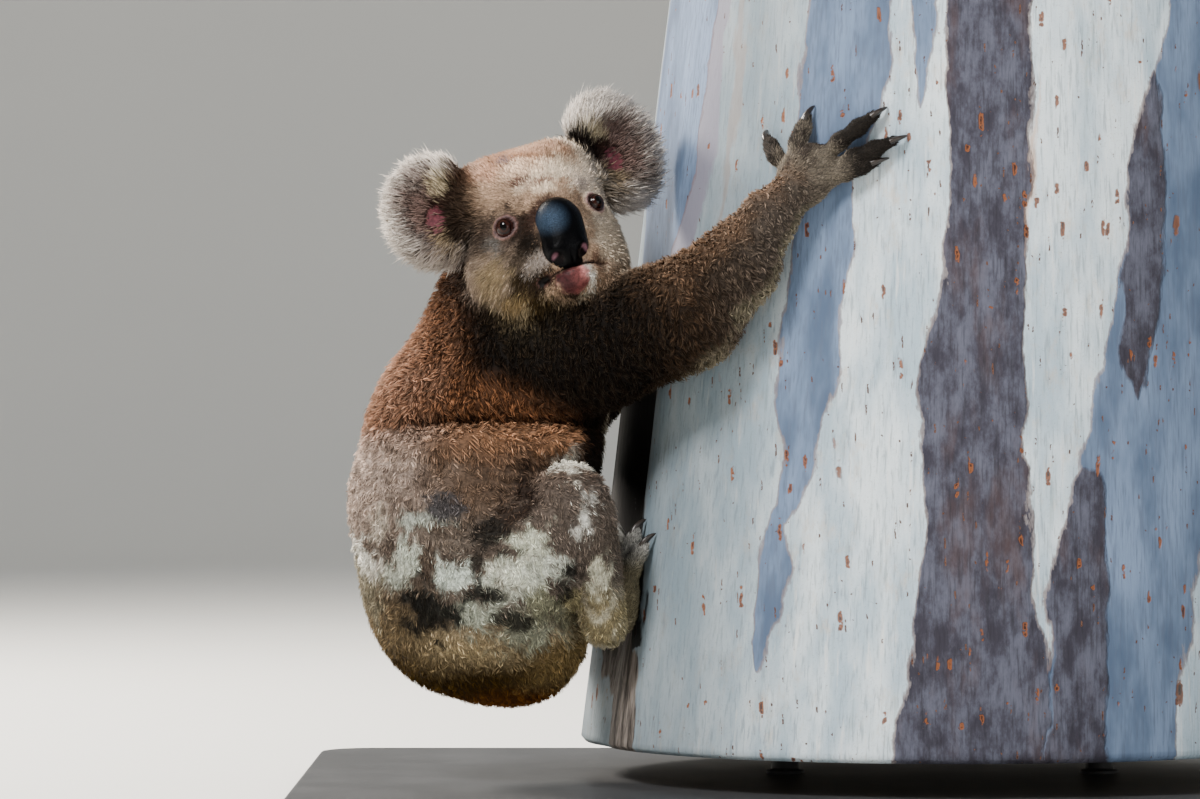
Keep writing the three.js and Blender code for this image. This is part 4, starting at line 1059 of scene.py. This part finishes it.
    # Painted shade under the back of the jaw.
    head = shifted_towards(head, "#1b120b", 0.92 * ease(0.012, -0.006, y + 0.004 * small) * ease(-0.024, -0.046, z))
    ear_root_shade = np.linalg.norm((x + 0.062, y + 0.006, z - 0.058), axis=0)
    head = shifted_towards(head, "#120c09", ease(0.030, 0.014, ear_root_shade + 0.004 * small))
    ear = np.tile(tint("#6e635e"), (len(points), 1))
    for part, (own, base, radii) in EARS.items():
        ex, ey, ez = inside(own, points).T
        inward = ex * np.sign(inside(own, base)[0])
        mine = ease(0.09, 0.06, np.linalg.norm(points - own[0], axis=1))
        bowl = mine * (normals @ own[1][1] > 0.1)
        from_middle = np.hypot(ex / radii[0], ez / radii[2])
        ear = shifted_towards(ear, "#efe5da", mine * ease(0.74, 1.0, from_middle + 0.15 * small))
        low = ease(-0.25, -0.75, ez / radii[2]) * (0.8 if part == "ear_right" else 0.3)
        ear = shifted_towards(ear, "#5d504a", mine * low)
        ear = shifted_towards(ear, "#6a5650", bowl * ease(0.80, 0.50, from_middle + 0.2 * small))
        tall = 0.030 if part == "ear_right" else 0.015
        # Of these, #2b1c18 and #120b08 on the bowl's side towards the head are painted shade.
        for code, across, high, width, height in (
            ("#2b1c18", 0.010, 0.004, 0.014, 0.009), ("#b3a588", 0.015, 0.019, 0.014, 0.009),
            ("#8a7860", 0.008, -0.020, 0.018, 0.013), ("#120b08", 0.031, 0.004, 0.014, tall),
        ):
            off = np.hypot((inward - across) / width, (ez - high) / height)
            ear = shifted_towards(ear, code, bowl * ease(1.30, 0.70, off + 0.25 * small))
        # Painted shade round each ear's root.
        ear = shifted_towards(ear, "#0f0a08", mine * ease(0.030, 0.018, np.linalg.norm(points - base, axis=1)))
    parts = {"torso": torso, "head": head}
    for side in ("_right", "_left"):
        parts.update({"arm" + side: arm, "thigh" + side: thigh, "shank" + side: shank, "foot" + side: foot})
        parts.update({"hand" + side: hand, "ear" + side: ear})
    return sum(near[part][:, None] * parts[part] for part in PARTS)


def bare_skin(points, normals):
    """Where the hide shows, and its colour there: eye rims, lips, chin and the middle of the ears' bowls."""
    shown = np.zeros(len(points))
    colour = np.tile(tint("#a9746a"), (len(points), 1))
    x, y, z = inside(HEAD, points).T
    uneven = ripple(points, 0.004, 13)
    off = np.linalg.norm(((x - 0.0062) / 0.0140, (y - 0.066) / 0.022, (z + 0.0572) / 0.0122), axis=0)
    lips = ease(1.32, 0.80, off + 0.22 * uneven)
    colour = shifted_towards(colour, "#6b3a39", lips)
    colour = shifted_towards(colour, "#3a1a1c", lips * ease(0.000, 0.013, x + 0.004 * uneven))
    pink = 0.9 * lips * ease(0.003, -0.005, x + 0.002 * uneven) * ease(-0.064, -0.056, z)
    colour = shifted_towards(colour, "#cf8783", pink)
    # The mouth's line and its corners are painted near-black as shade in the lips' groove.
    slit = np.exp(-((mouth_line(x, z) / 0.0018) ** 2)) * ease(0.033, 0.028, np.abs(x)) * ease(0.04, 0.05, y)
    corner = ease(1.25, 0.75, np.hypot((x - 0.0255) / 0.0062, (z + 0.0480) / 0.0044)) * ease(0.03, 0.04, y)
    slit = np.maximum(slit, corner)
    colour = shifted_towards(colour, "#0b0605", slit)
    shown = np.maximum(lips, slit)
    for name in EYES:
        across, high, out = inside(eye_frame(name), points).T
        far = np.hypot(across / EYE_OPENING[0], high / EYE_OPENING[1])
        rim = ease(1.70, 1.30, far + 0.1 * uneven) * (out > -0.004)
        colour = shifted_towards(colour, "#6d5a5a" if name == "eye_right" else "#a0837f", rim)
        colour = shifted_towards(colour, "#3d2a2a", ease(1.45, 1.15, far) * (out > -0.004))
        # The lids' inner edge is painted near-black as shade against the ball.
        colour = shifted_towards(colour, "#140a09", ease(1.12, 0.98, far) * (out > -0.004))
        shown = np.maximum(shown, rim)
    for part, (own, base, radii) in EARS.items():
        ex, ey, ez = inside(own, points).T
        outward = -ex * np.sign(inside(own, base)[0])
        bowl = ease(0.52, 0.22, np.hypot((outward - 0.002) / radii[0], (ez + 0.006) / radii[2]))
        bowl *= (normals @ own[1][1] > 0.2) & (np.abs(ey) < 0.02)
        colour = shifted_towards(colour, "#6e333f", bowl)
        shown = np.maximum(shown, 0.75 * bowl)
    return shown, colour


def attribute(mesh, name, kind, values):
    """Stores values at a mesh's points."""
    width = {"FLOAT": ("value", 1), "FLOAT_VECTOR": ("vector", 3), "FLOAT_COLOR": ("color", 4)}[kind]
    flat = np.ones((len(mesh.vertices), width[1]), np.float32)
    flat[:, : values.shape[1] if values.ndim > 1 else 1] = values.reshape(len(values), -1)
    mesh.attributes.new(name, kind, "POINT").data.foreach_set(width[0], flat.ravel())


points = places(skin.data)
normals = np.array([v.normal for v in skin.data.vertices])
near = shares(part_distances(points))
shown, flesh = bare_skin(points, normals)
face = near["head"] * ease(0.0, 0.03, inside(HEAD, points)[:, 1])
under = coat_colours_and_light(points, normals, near)
fair = ease(0.25, 0.60, under.mean(axis=1)) * (1 - near["head"])
under = under * (0.42 + 0.38 * face + 0.30 * fair)[:, None]
attribute(skin.data, "colour_and_light", "FLOAT_COLOR", under + (flesh - under) * shown[:, None])
attribute(skin.data, "bare", "FLOAT", shown)


def marked(tree, shader, value, darkest):
    """Colours a shader by the stored coat colours and their painted light and shade, darker where a value is
    low.
    """
    colour_and_light = place(tree, "Attribute", attribute_name="colour_and_light").outputs["Color"]
    lit = mix(tree, ramp(tree, value, 0.3, 0.7), hue(darkest), hue("#ffffff"))
    tree.links.new(mix(tree, 1.0, colour_and_light, lit, "MULTIPLY"), shader.inputs["Base Color"])


hide, tree, shader, where = finish_material("koala_hide")
bareness = place(tree, "Attribute", attribute_name="bare").outputs["Fac"]
pores = grain(tree, where, 900, 3)
down = grain(tree, where, 420, 3, 0.7)
marked(tree, shader, down, "#a8a8a8")
tree.links.new(sums(tree, "MULTIPLY_ADD", bareness, -0.38, 0.85), shader.inputs["Roughness"])
shader.inputs["Specular IOR Level"].default_value = 0.12
bump(tree, shader, sums(tree, "ADD", down, sums(tree, "MULTIPLY", pores, 0.4)), 0.6, 0.0008)
skin.data.materials.append(hide)

# ---- Eyes ----
# Glassy dark brown eyes with an upright oval pupil, a little proud of the face between their lids. Each is
# one ball whose front swells into the cornea; its pattern is drawn round its own gaze.
iris, tree, shader, where = finish_material("brown_eye")
gaze = place(tree, "Attribute", attribute_name="eye_place").outputs["Vector"]
split = place(tree, "SeparateXYZ", {0: gaze}).outputs
off = hypotenuse(tree, split[0], split[1])
oval_off = hypotenuse(tree, sums(tree, "MULTIPLY", split[0], 1.5), split[1])
turn = sums(tree, "MULTIPLY", sums(tree, "ARCTAN2", split[1], split[0]), 6)
rays = place(tree, "CombineXYZ", {0: turn, 1: sums(tree, "MULTIPLY", off, 2.5)}).outputs[0]
fibres = grain(tree, rays, 3.0, 3)
colour = mix(tree, ramp(tree, fibres, 0.3, 0.7), hue("#120705"), hue("#34160f"))
colour = mixed_towards(tree, colour, "#120605", ramp(tree, off, 0.52, 0.68))
colour = mixed_towards(tree, colour, "#030202", less(tree, ramp(tree, oval_off, 0.42, 0.48)))
colour = mixed_towards(tree, colour, "#2e1a17", ramp(tree, off, 0.74, 0.80))
tree.links.new(colour, shader.inputs["Base Color"])
shader.inputs["Roughness"].default_value = 0.08
shader.inputs["Specular IOR Level"].default_value = 0.14
shader.inputs["Coat Weight"].default_value = 0.08
shader.inputs["Coat Roughness"].default_value = 0.03
for name in EYES:
    own = eye_frame(name)
    bm = bmesh.new()
    bmesh.ops.create_uvsphere(bm, u_segments=48, v_segments=36, radius=1)
    local = np.array([v.co for v in bm.verts])
    for v, co in zip(bm.verts, local):
        swell = 0.06 * float(ease(0.78, 0.96, co[2]))
        v.co = outside(own, co * EYE_RADIUS * (1 + swell))
    eye = piece(name.replace("eye", "eyeball"), bm, iris)
    attribute(eye.data, "eye_place", "FLOAT_VECTOR", local)
    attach(eye, "root")
    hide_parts(name)

# ---- Nose ----
# The long leathery nose, one hairless pad from between the eyes down to the lip: black all over, velvety
# above with a painted blue-grey sheen on its upper part towards the animal's right, and finely pebbled below,
# with two comma-shaped nostrils, mauve inside and painted near-black in their depths as shade, over a
# shallow groove.
NOSTRIL = (0.0112, -0.0375)
NOSE_LEAN = 0.0028
NOSE = (
    ((0, 0.0605, -0.007), (0.0203, 0.0180, 0.0232)),
    ((NOSE_LEAN, 0.0640, -0.0290), (0.0194, 0.0160, 0.0192)),
)


def nose_distance(points):
    """Distance to the nose pad, below nought inside it."""
    x, y, z = inside(HEAD, points).T
    top, lower = (reach(oval(HEAD, *mass), points) for mass in NOSE)
    front = ease(0.060, 0.068, y)
    out = np.abs(x - NOSE_LEAN) - NOSTRIL[0]
    up = z - NOSTRIL[1]
    hole = np.exp(-((out / 0.0036) ** 2) - ((up - 0.45 * out) / 0.0036) ** 2)
    wing = np.exp(-(((out - 0.0020) / 0.0050) ** 2) - ((up - 0.0070) / 0.0040) ** 2)
    groove = np.exp(-(((x - NOSE_LEAN) / 0.0013) ** 2)) * ease(-0.030, -0.037, z)
    return run_together(0.012, top, lower) + front * (0.0075 * hole - 0.0012 * wing + 0.0010 * groove)


bm = bmesh.new()
for centre, radii in NOSE:
    turn = Matrix(HEAD[1].T.tolist()).to_4x4()
    placed = Matrix.Translation(outside(HEAD, centre)) @ turn @ Matrix.Diagonal((*radii, 1))
    bmesh.ops.create_icosphere(bm, subdivisions=5, radius=1, matrix=placed)
even = evened(bm, 0.0008)
bm = bmesh.new()
bm.from_mesh(even)
put(bm, settle(nose_distance, places(even), 6, 0.0002, 0.002))
bmesh.ops.smooth_vert(bm, verts=bm.verts, factor=0.5, use_axis_x=True, use_axis_y=True, use_axis_z=True)

leather, tree, shader, where = finish_material("nose_leather")
spots = place(tree, "Attribute", attribute_name="nostril").outputs["Fac"]
velvet_and_sheen = place(tree, "Attribute", attribute_name="velvet_and_sheen").outputs["Fac"]
pebbles = place(tree, "TexVoronoi", {"Vector": where, "Scale": 1150}, feature="SMOOTH_F1").outputs["Distance"]
nap = grain(tree, where, 1500, 3, 0.7)
# The blue-grey on the velvety upper part is a painted sheen; the leather itself is near-black.
colour = mix(tree, velvet_and_sheen, hue("#010102"), hue("#1a2533"))
painted_sheen = sums(tree, "MULTIPLY", ramp(tree, nap, 0.4, 0.75), sums(tree, "MULTIPLY", velvet_and_sheen, 0.70))
colour = mixed_towards(tree, colour, "#4d6178", painted_sheen)
colour = mixed_towards(tree, colour, "#6b4a54", ramp(tree, spots, 0.30, 0.75))
# The nostrils' depths, painted near-black as shade.
inner = place(tree, "Attribute", attribute_name="inner").outputs["Fac"]
colour = mixed_towards(tree, colour, "#080405", ramp(tree, inner, 0.22, 0.55))
tree.links.new(colour, shader.inputs["Base Color"])
tree.links.new(sums(tree, "MULTIPLY_ADD", velvet_and_sheen, 0.25, 0.30), shader.inputs["Roughness"])
shader.inputs["Specular IOR Level"].default_value = 0.05
bump(tree, shader, sums(tree, "ADD", pebbles, sums(tree, "MULTIPLY", nap, 0.5)), 0.55, 0.0004)
nose = piece("nose_pad", bm, leather)
x, y, z = inside(HEAD, places(nose.data)).T
out = np.abs(x - NOSE_LEAN) - NOSTRIL[0]
up = z - NOSTRIL[1]
showing = (y > 0.06) * np.where(x < 0, 1, 0.7)
# The nostrils' mauve walls, and their depths painted dark as shade.
for label, aside, above, size in (("nostril", 0.0022, 0.0024, 0.0042), ("inner", -0.0008, -0.0010, 0.0044)):
    spot = np.exp(-(((out - aside) ** 2 + (up - above) ** 2) / size**2))
    attribute(nose.data, label, "FLOAT", spot * showing)
# The velvety upper part, where the blue-grey sheen is painted.
bridge = np.hypot((x - 0.0090) / 0.0165, (z + 0.0030) / 0.0160)
attribute(nose.data, "velvet_and_sheen", "FLOAT", ease(1.15, 0.05, bridge))
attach(nose, "root")
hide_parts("nose")

# ---- Claws ----
# Dark curved horn, deeper than wide and drawn to a point that bites the bark, one to each digit but the inner
# toe. Each claw is a ring drawn out from inside the fingertip along its curve.
horn, tree, shader, where = finish_material("claw_horn")
along = place(tree, "Attribute", attribute_name="along").outputs["Fac"]
streaky = grain(tree, stretched(tree, where, (1, 1, 0.5)), 500, 3)
colour = mix(tree, ramp(tree, along, 0.1, 0.8), hue("#211914"), hue("#070605"))
colour = mixed_towards(tree, colour, "#5f5145", ramp(tree, streaky, 0.5, 0.8), 0.14)
tree.links.new(colour, shader.inputs["Base Color"])
tree.links.new(sums(tree, "MULTIPLY_ADD", streaky, 0.2, 0.22), shader.inputs["Roughness"])
bump(tree, shader, streaky, 0.3, 0.0002)
CLAW_REACH = 0.0128
CLAW_STATIONS = 10
for paw, (plan, *_) in PAWS.items():
    bm = bmesh.new()
    names = []
    for digit, ((x, y), toward, length, radius) in enumerate(plan[2], start=1):
        if paw.startswith("foot") and digit == 1:
            continue
        names.append(f"claw_{paw}_{digit}")
        toward = math.radians(toward)
        knots = []
        for share, lift in ((0, 1.5 * radius), (0.45, 1.45 * radius), (0.85, 0.75 * radius), (0.98, 0.0006)):
            far = length + share * CLAW_REACH - 0.002
            knots.append(paw_place(paw, x + far * math.cos(toward), y + far * math.sin(toward), lift))
        ring = bmesh.ops.create_circle(bm, segments=12, radius=1)["verts"]
        edges = list({e for v in ring for e in v.link_edges})
        for station in range(CLAW_STATIONS):
            t = station / (CLAW_STATIONS - 1)
            a, b, c, d = knots
            u = 1 - t
            at = u**3 * a + 3 * u * u * t * b + 3 * u * t * t * c + t**3 * d
            ahead = unit(u * u * (b - a) + 2 * u * t * (c - b) + t * t * (d - c))
            if station:
                new = bmesh.ops.extrude_edge_only(bm, edges=edges)["geom"]
                fresh = [v for v in new if isinstance(v, bmesh.types.BMVert)]
                edges = [e for e in new if isinstance(e, bmesh.types.BMEdge)]
                edges = [e for e in edges if all(v in fresh for v in e.verts)]
                others = ([e.other_vert(v) for e in v.link_edges] for v in fresh)
                before = (next(v for v in beside if v in ring) for beside in others)
                turns = {v: turns[old] for v, old in zip(fresh, before)}
                ring = fresh
            else:
                turns = {v: math.atan2(v.co.y, v.co.x) for v in ring}
            out = unit(knots[0] - log_middle(knots[0][2]))
            across = unit(np.cross(ahead, out))
            over = np.cross(across, ahead)
            size = 0.0036 * (1 - t) ** 0.6 + 0.00014
            for v in ring:
                v.co = at + size * (0.78 * math.cos(turns[v]) * across + 1.1 * math.sin(turns[v]) * over)
        bmesh.ops.contextual_create(bm, geom=edges)
    bmesh.ops.recalc_face_normals(bm, faces=bm.faces)
    claws = piece("claws_" + paw, bm, horn)
    tips_at = np.array([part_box(name)[0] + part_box(name)[1] for name in names]) / 2
    off = np.linalg.norm(places(claws.data)[:, None, :] - tips_at[None], axis=2).min(axis=1)
    attribute(claws.data, "along", "FLOAT", ease(0.006, -0.004, off))
    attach(claws, "root")
    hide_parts(*names)

# ---- Coat ----
# Short dense woolly fur, rooted in the hide and lying along it: away from the nose over the head, down the
# back and the limbs, along the fingers, and outward over the ears into long pale fringes. Straight tufts make
# the nap, bent locks break its outline, and each tuft's place on the fur map is its root's on the hide.
TUFTS = 256000
MOST_TRIANGLES = 190000

bpy.context.view_layer.objects.active = skin
skin.select_set(True)
bpy.ops.object.mode_set(mode="EDIT")
bpy.ops.mesh.select_all(action="SELECT")
bpy.ops.uv.smart_project(angle_limit=math.radians(66), island_margin=0.002)
bpy.ops.object.mode_set(mode="OBJECT")
skin.data.uv_layers[0].name = "hide_unwrap"


mesh = skin.data
points = places(mesh)
mesh.calc_loop_triangles()
corners = listed(mesh.loop_triangles, "vertices", np.int32, 3)
loops = listed(mesh.loop_triangles, "loops", np.int32, 3)
unwrap = listed(mesh.uv_layers[0].data, "uv", np.float32, 2)

middles = points[corners].mean(axis=1)
one, two, three = (points[corners[:, i]] for i in range(3))
area = np.linalg.norm(np.cross(two - one, three - one), axis=1) / 2
near = {part: share[corners].mean(axis=1) for part, share in near.items()}
paws = sum(near[part] for part in PAWS)
ears = near["ear_right"] + near["ear_left"]
x, y, z = inside(HEAD, middles).T
thick = 1 + 1.5 * near["head"] + 1.2 * near["head"] * ease(-0.01, 0.035, y) + 1.8 * paws + 2.0 * ears
thick *= 1 - ease(0.25, 0.8, shown[corners].mean(axis=1))
pressed = np.linalg.norm(middles - out_of_log(middles, 0.0035), axis=1) > 0.0005
thick *= np.where(pressed, 0.08, 1)
for name in EYES:
    thick *= np.linalg.norm(middles - eye_frame(name)[0], axis=1) > EYE_RADIUS + 0.0004
thick *= np.linalg.norm((x / 0.021, (y - 0.064) / 0.021, (z + 0.017) / 0.032), axis=0) > 1.0
rng = np.random.default_rng(11)
running = np.cumsum(area * thick)
picked = np.searchsorted(running, (np.arange(TUFTS) + rng.random(TUFTS)) / TUFTS * running[-1])
share = rng.random((TUFTS, 2))
share = np.where(share.sum(axis=1, keepdims=True) > 1, 1 - share, share)
share = np.column_stack([1 - share.sum(axis=1), share])
root = (points[corners[picked]] * share[:, :, None]).sum(axis=1)
normal = unit((normals[corners[picked]] * share[:, :, None]).sum(axis=1))
patch = (unwrap[loops[picked]] * share[:, :, None]).sum(axis=1)
near = shares(part_distances(root))
colour = coat_colours_and_light(root + 0.0020 * rng.normal(size=root.shape), normal, near)

# How each tuft lies.
ahead, side, up = inside(BODY, root).T
x, y, z = inside(HEAD, root).T
ears = near["ear_right"] + near["ear_left"]
paws = sum(near[part] for part in PAWS)
arms = near["arm_right"] + near["arm_left"]
shanks = near["shank_right"] + near["shank_left"]
coarse = near["torso"] + arms + near["thigh_right"] + near["thigh_left"] + 0.8 * shanks
rump = (coarse - arms) * ease(0.33, 0.30, up)
from_neck = unit(root - outside(BODY, (0.02, 0, 0.44)))
lie = near["torso"][:, None] * (-UP + 0.35 * FORWARD + 1.2 * ease(0.34, 0.42, up)[:, None] * from_neck)
for part in PARTS[2:]:
    if part in PAWS or "shank" in part:
        lie = lie + near[part][:, None] * along_masses(part, root)
    elif part not in EARS:
        lie = lie + near[part][:, None] * (0.48 * along_masses(part, root) - 0.87 * UP)
from_nose = unit(root - outside(HEAD, (0, 0.058, 0.002)))
lie = lie + near["head"][:, None] * (from_nose - 0.35 * ease(0.0, -0.04, z)[:, None] * UP)
for part, (own, base, radii) in EARS.items():
    lie = lie + near[part][:, None] * (unit(root - base) + 0.25 * own[1][1] - 0.15 * UP)

# Neighbours in one cell of space lean alike and draw together at their tips.
drift = np.stack([ripple(root, 0.011, seed) for seed in (31, 32, 33)], axis=1) * 0.003
cell = np.where(near["head"] + paws > 0.5, 0.0032, 0.0054)
key = np.floor((root + drift) / cell[:, None]).astype(np.int64)
key = key @ np.array([1, 4096, 16777216]) + (cell > 0.004)
_, clump = np.unique(key, return_inverse=True)
count = np.bincount(clump)
sway = np.stack([ripple(root, 0.010, seed) for seed in (21, 22, 23)], axis=1)
lean = rng.normal(size=(len(count), 3))[clump]
lie = unit(lie) + (0.20 + 0.25 * coarse + 0.30 * rump)[:, None] * sway
lie = lie + (0.10 + 0.34 * coarse)[:, None] * lean
lie = lie + 0.14 * rng.normal(size=root.shape)
lie = unit(lie - (lie * normal).sum(axis=1, keepdims=True) * normal)

# Each tuft's kind, length, width, rise and bend, and where that puts its middle and tip.
ruff = near["head"] * ease(-0.02, -0.05, z) + near["head"] * ease(0.0, -0.03, y)
lock = rng.random(TUFTS) < 0.20 * coarse - 0.12 * rump - 0.08 * arms + 0.12 * ruff + ears
length = sum(near[part] * coat_length(root, part) for part in PARTS if part not in EARS)
length = length * np.where(lock, 1.06, 0.82) * (1 - 0.30 * rump)
for part, (own, base, radii) in EARS.items():
    ex, ey, ez = inside(own, root).T
    rim = np.hypot(ex / radii[0], ez / radii[2])
    fringe = 0.0085 if part == "ear_right" else 0.0115
    length = length + near[part] * (0.0105 + fringe * ease(0.50, 1.0, rim))
length = length * (1 + 0.20 * arms * ease(0.45, 0.9, -normal[:, 2]) * ease(0.20, 0.14, ahead))
length = length * np.exp(rng.normal(0, 0.17, TUFTS))
width = 0.00100 * coarse + 0.00095 * near["head"] + 0.00098 * ears + 0.00085 * paws
width = np.maximum(width, 0.0008) * np.where(lock, 1.15, 1) * (1 - 0.14 * rump)
rise = np.radians(50 * coarse - 10 * rump + 34 * near["head"] + 34 * ears + 24 * paws)
rise = np.maximum(rise, np.radians(22)) + np.radians(9) * rng.normal(size=TUFTS)
bend = 0.5 * rise + np.radians(6) * rng.normal(size=TUFTS)
first = np.cos(rise)[:, None] * lie + np.sin(rise)[:, None] * normal
second = np.cos(bend)[:, None] * lie + np.sin(bend)[:, None] * normal
second = unit(second + 0.14 * rng.normal(size=root.shape))
middle = root + 0.45 * length[:, None] * first
tip = middle + 0.55 * length[:, None] * second

together = np.stack([np.bincount(clump, tip[:, i]) / count for i in range(3)], axis=1)[clump]
tip = tip + (0.36 + 0.20 * coarse)[:, None] * (together - tip)
middle = out_of_log(middle, 0.0005)
tip = out_of_log(tip, 0.0005)

# The colours at each tuft's root, middle and tip.
shade = 0.80 * rng.normal(size=len(count))[clump] + 0.80 * rng.normal(size=TUFTS)
loin = (coarse - arms) * ease(0.20, 0.25, up) * ease(0.345, 0.32, up)
# Darker between the loins' wool rows: painted shade in the partings.
shade = np.clip(shade - 0.9 * loin * wool_rows(root), -2.2, 2.2)
body = colour * np.exp((0.17 + 0.17 * coarse - 0.03 * rump) * shade)[:, None]
light = np.clip(4 * colour.mean(axis=1), 0.12, 1)
pale_tip = (rng.random(TUFTS) < 0.34) * (0.34 * coarse + 0.30 * arms + 0.25 * ears - 0.18 * rump) * light
tips = shifted_towards(body * 1.30, "#c9b6a2", pale_tip)
tips = tips + (tint("#dcd2c7") - tips) * (ears * 0.8 * light * ease(0.6, 1.0, length / 0.019))[:, None]
fair = ease(0.25, 0.60, colour.mean(axis=1))
base = body * (0.36 + 0.30 * near["head"] + 0.2 * paws + 0.34 * fair * coarse)[:, None]


def tufts(name, chosen, bent):
    """One piece of the coat: at each chosen root a three-sided tuft drawn to a point, or a bent lock."""
    many = len(chosen)
    n = normal[chosen]
    start = root[chosen] - 0.0010 * n
    heading = unit(tip[chosen] - start)
    across = unit(np.cross(heading, n))
    over = np.cross(across, heading)
    half = 0.5 * width[chosen][:, None]
    rows = []
    for at in (start, middle[chosen]) if bent else (start,):
        rows += [at - across * half, at + across * half, at + over * half * 0.9]
    block = np.stack(rows + [tip[chosen]], axis=1)
    faces = ((0, 1, 2), (0, 3, 1), (1, 3, 2), (0, 2, 3))
    spot = ((0, 0), (1, 0), (0.5, 0.2), (0.5, 1))
    shades = [base] * 3 + [tips]
    if bent:
        faces = ((0, 1, 2), (0, 3, 4, 1), (1, 4, 5, 2), (0, 2, 5, 3), (3, 6, 4), (4, 6, 5), (3, 5, 6))
        spot = ((0, 0), (1, 0), (0.5, 0.15), (0, 0.5), (1, 0.5), (0.5, 0.6), (0.5, 1))
        shades = [base] * 3 + [body] * 3 + [tips]
    pattern = np.array([corner for face in faces for corner in face])
    mesh = bpy.data.meshes.new(name)
    mesh.vertices.add(len(spot) * many)
    mesh.vertices.foreach_set("co", block.astype(np.float32).ravel())
    mesh.loops.add(len(pattern) * many)
    index = (pattern[None, :] + len(spot) * np.arange(many)[:, None]).astype(np.int32)
    mesh.loops.foreach_set("vertex_index", index.ravel())
    mesh.polygons.add(len(faces) * many)
    starts = np.cumsum([0] + [len(face) for face in faces[:-1]])
    starts = (starts[None, :] + len(pattern) * np.arange(many)[:, None]).astype(np.int32)
    mesh.polygons.foreach_set("loop_start", starts.ravel())
    mesh.update(calc_edges=True)
    mesh.polygons.foreach_set("use_smooth", np.ones(len(mesh.polygons), bool))
    fur_map = patch[chosen][:, None, :] + 0.003 * (np.array(spot) - 0.5)[pattern][None, :, :]
    mesh.uv_layers.new(name="OFBake").data.foreach_set("uv", fur_map.astype(np.float32).ravel())
    shaded = np.stack([part[chosen] for part in shades], axis=1)
    attribute(mesh, "colour_and_light", "FLOAT_COLOR", shaded.reshape(-1, 3))
    made = bpy.data.objects.new(name, mesh)
    bpy.context.scene.collection.objects.link(made)
    mesh.materials.append(fur)
    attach(made, "root")
    return made


fur, tree, shader, where = finish_material("koala_fur")
strands = grain(tree, where, 700, 2, 0.6)
marked(tree, shader, strands, "#d6d6d6")
tree.links.new(sums(tree, "MULTIPLY_ADD", strands, 0.15, 0.62), shader.inputs["Roughness"])
shader.inputs["Specular IOR Level"].default_value = 0.03

nearest = np.argmax(np.stack([near[part] for part in PARTS], axis=1), axis=1)
GROUPS = {
    "body": ("torso",), "head": ("head",), "ears": ("ear_right", "ear_left"),
    "arm_right": ("arm_right", "hand_right"), "arm_left": ("arm_left", "hand_left"),
    "leg_right": ("thigh_right", "shank_right", "foot_right"),
    "leg_left": ("thigh_left", "shank_left", "foot_left"),
}
for group, parts in GROUPS.items():
    for kind, bent, triangles in (("nap", False, 4), ("locks", True, 10)):
        belongs = np.isin(nearest, [PARTS.index(part) for part in parts])
        chosen = np.flatnonzero(belongs & (lock == bent))
        if not len(chosen):
            continue
        chosen = chosen[np.argsort(-root[chosen, 2], kind="stable")]
        pieces = math.ceil(len(chosen) * triangles / MOST_TRIANGLES)
        for number, slice_of in enumerate(np.array_split(chosen, pieces), start=1):
            tufts(f"{kind}_{group}" if pieces == 1 else f"{kind}_{group}_{number}", slice_of, bent)
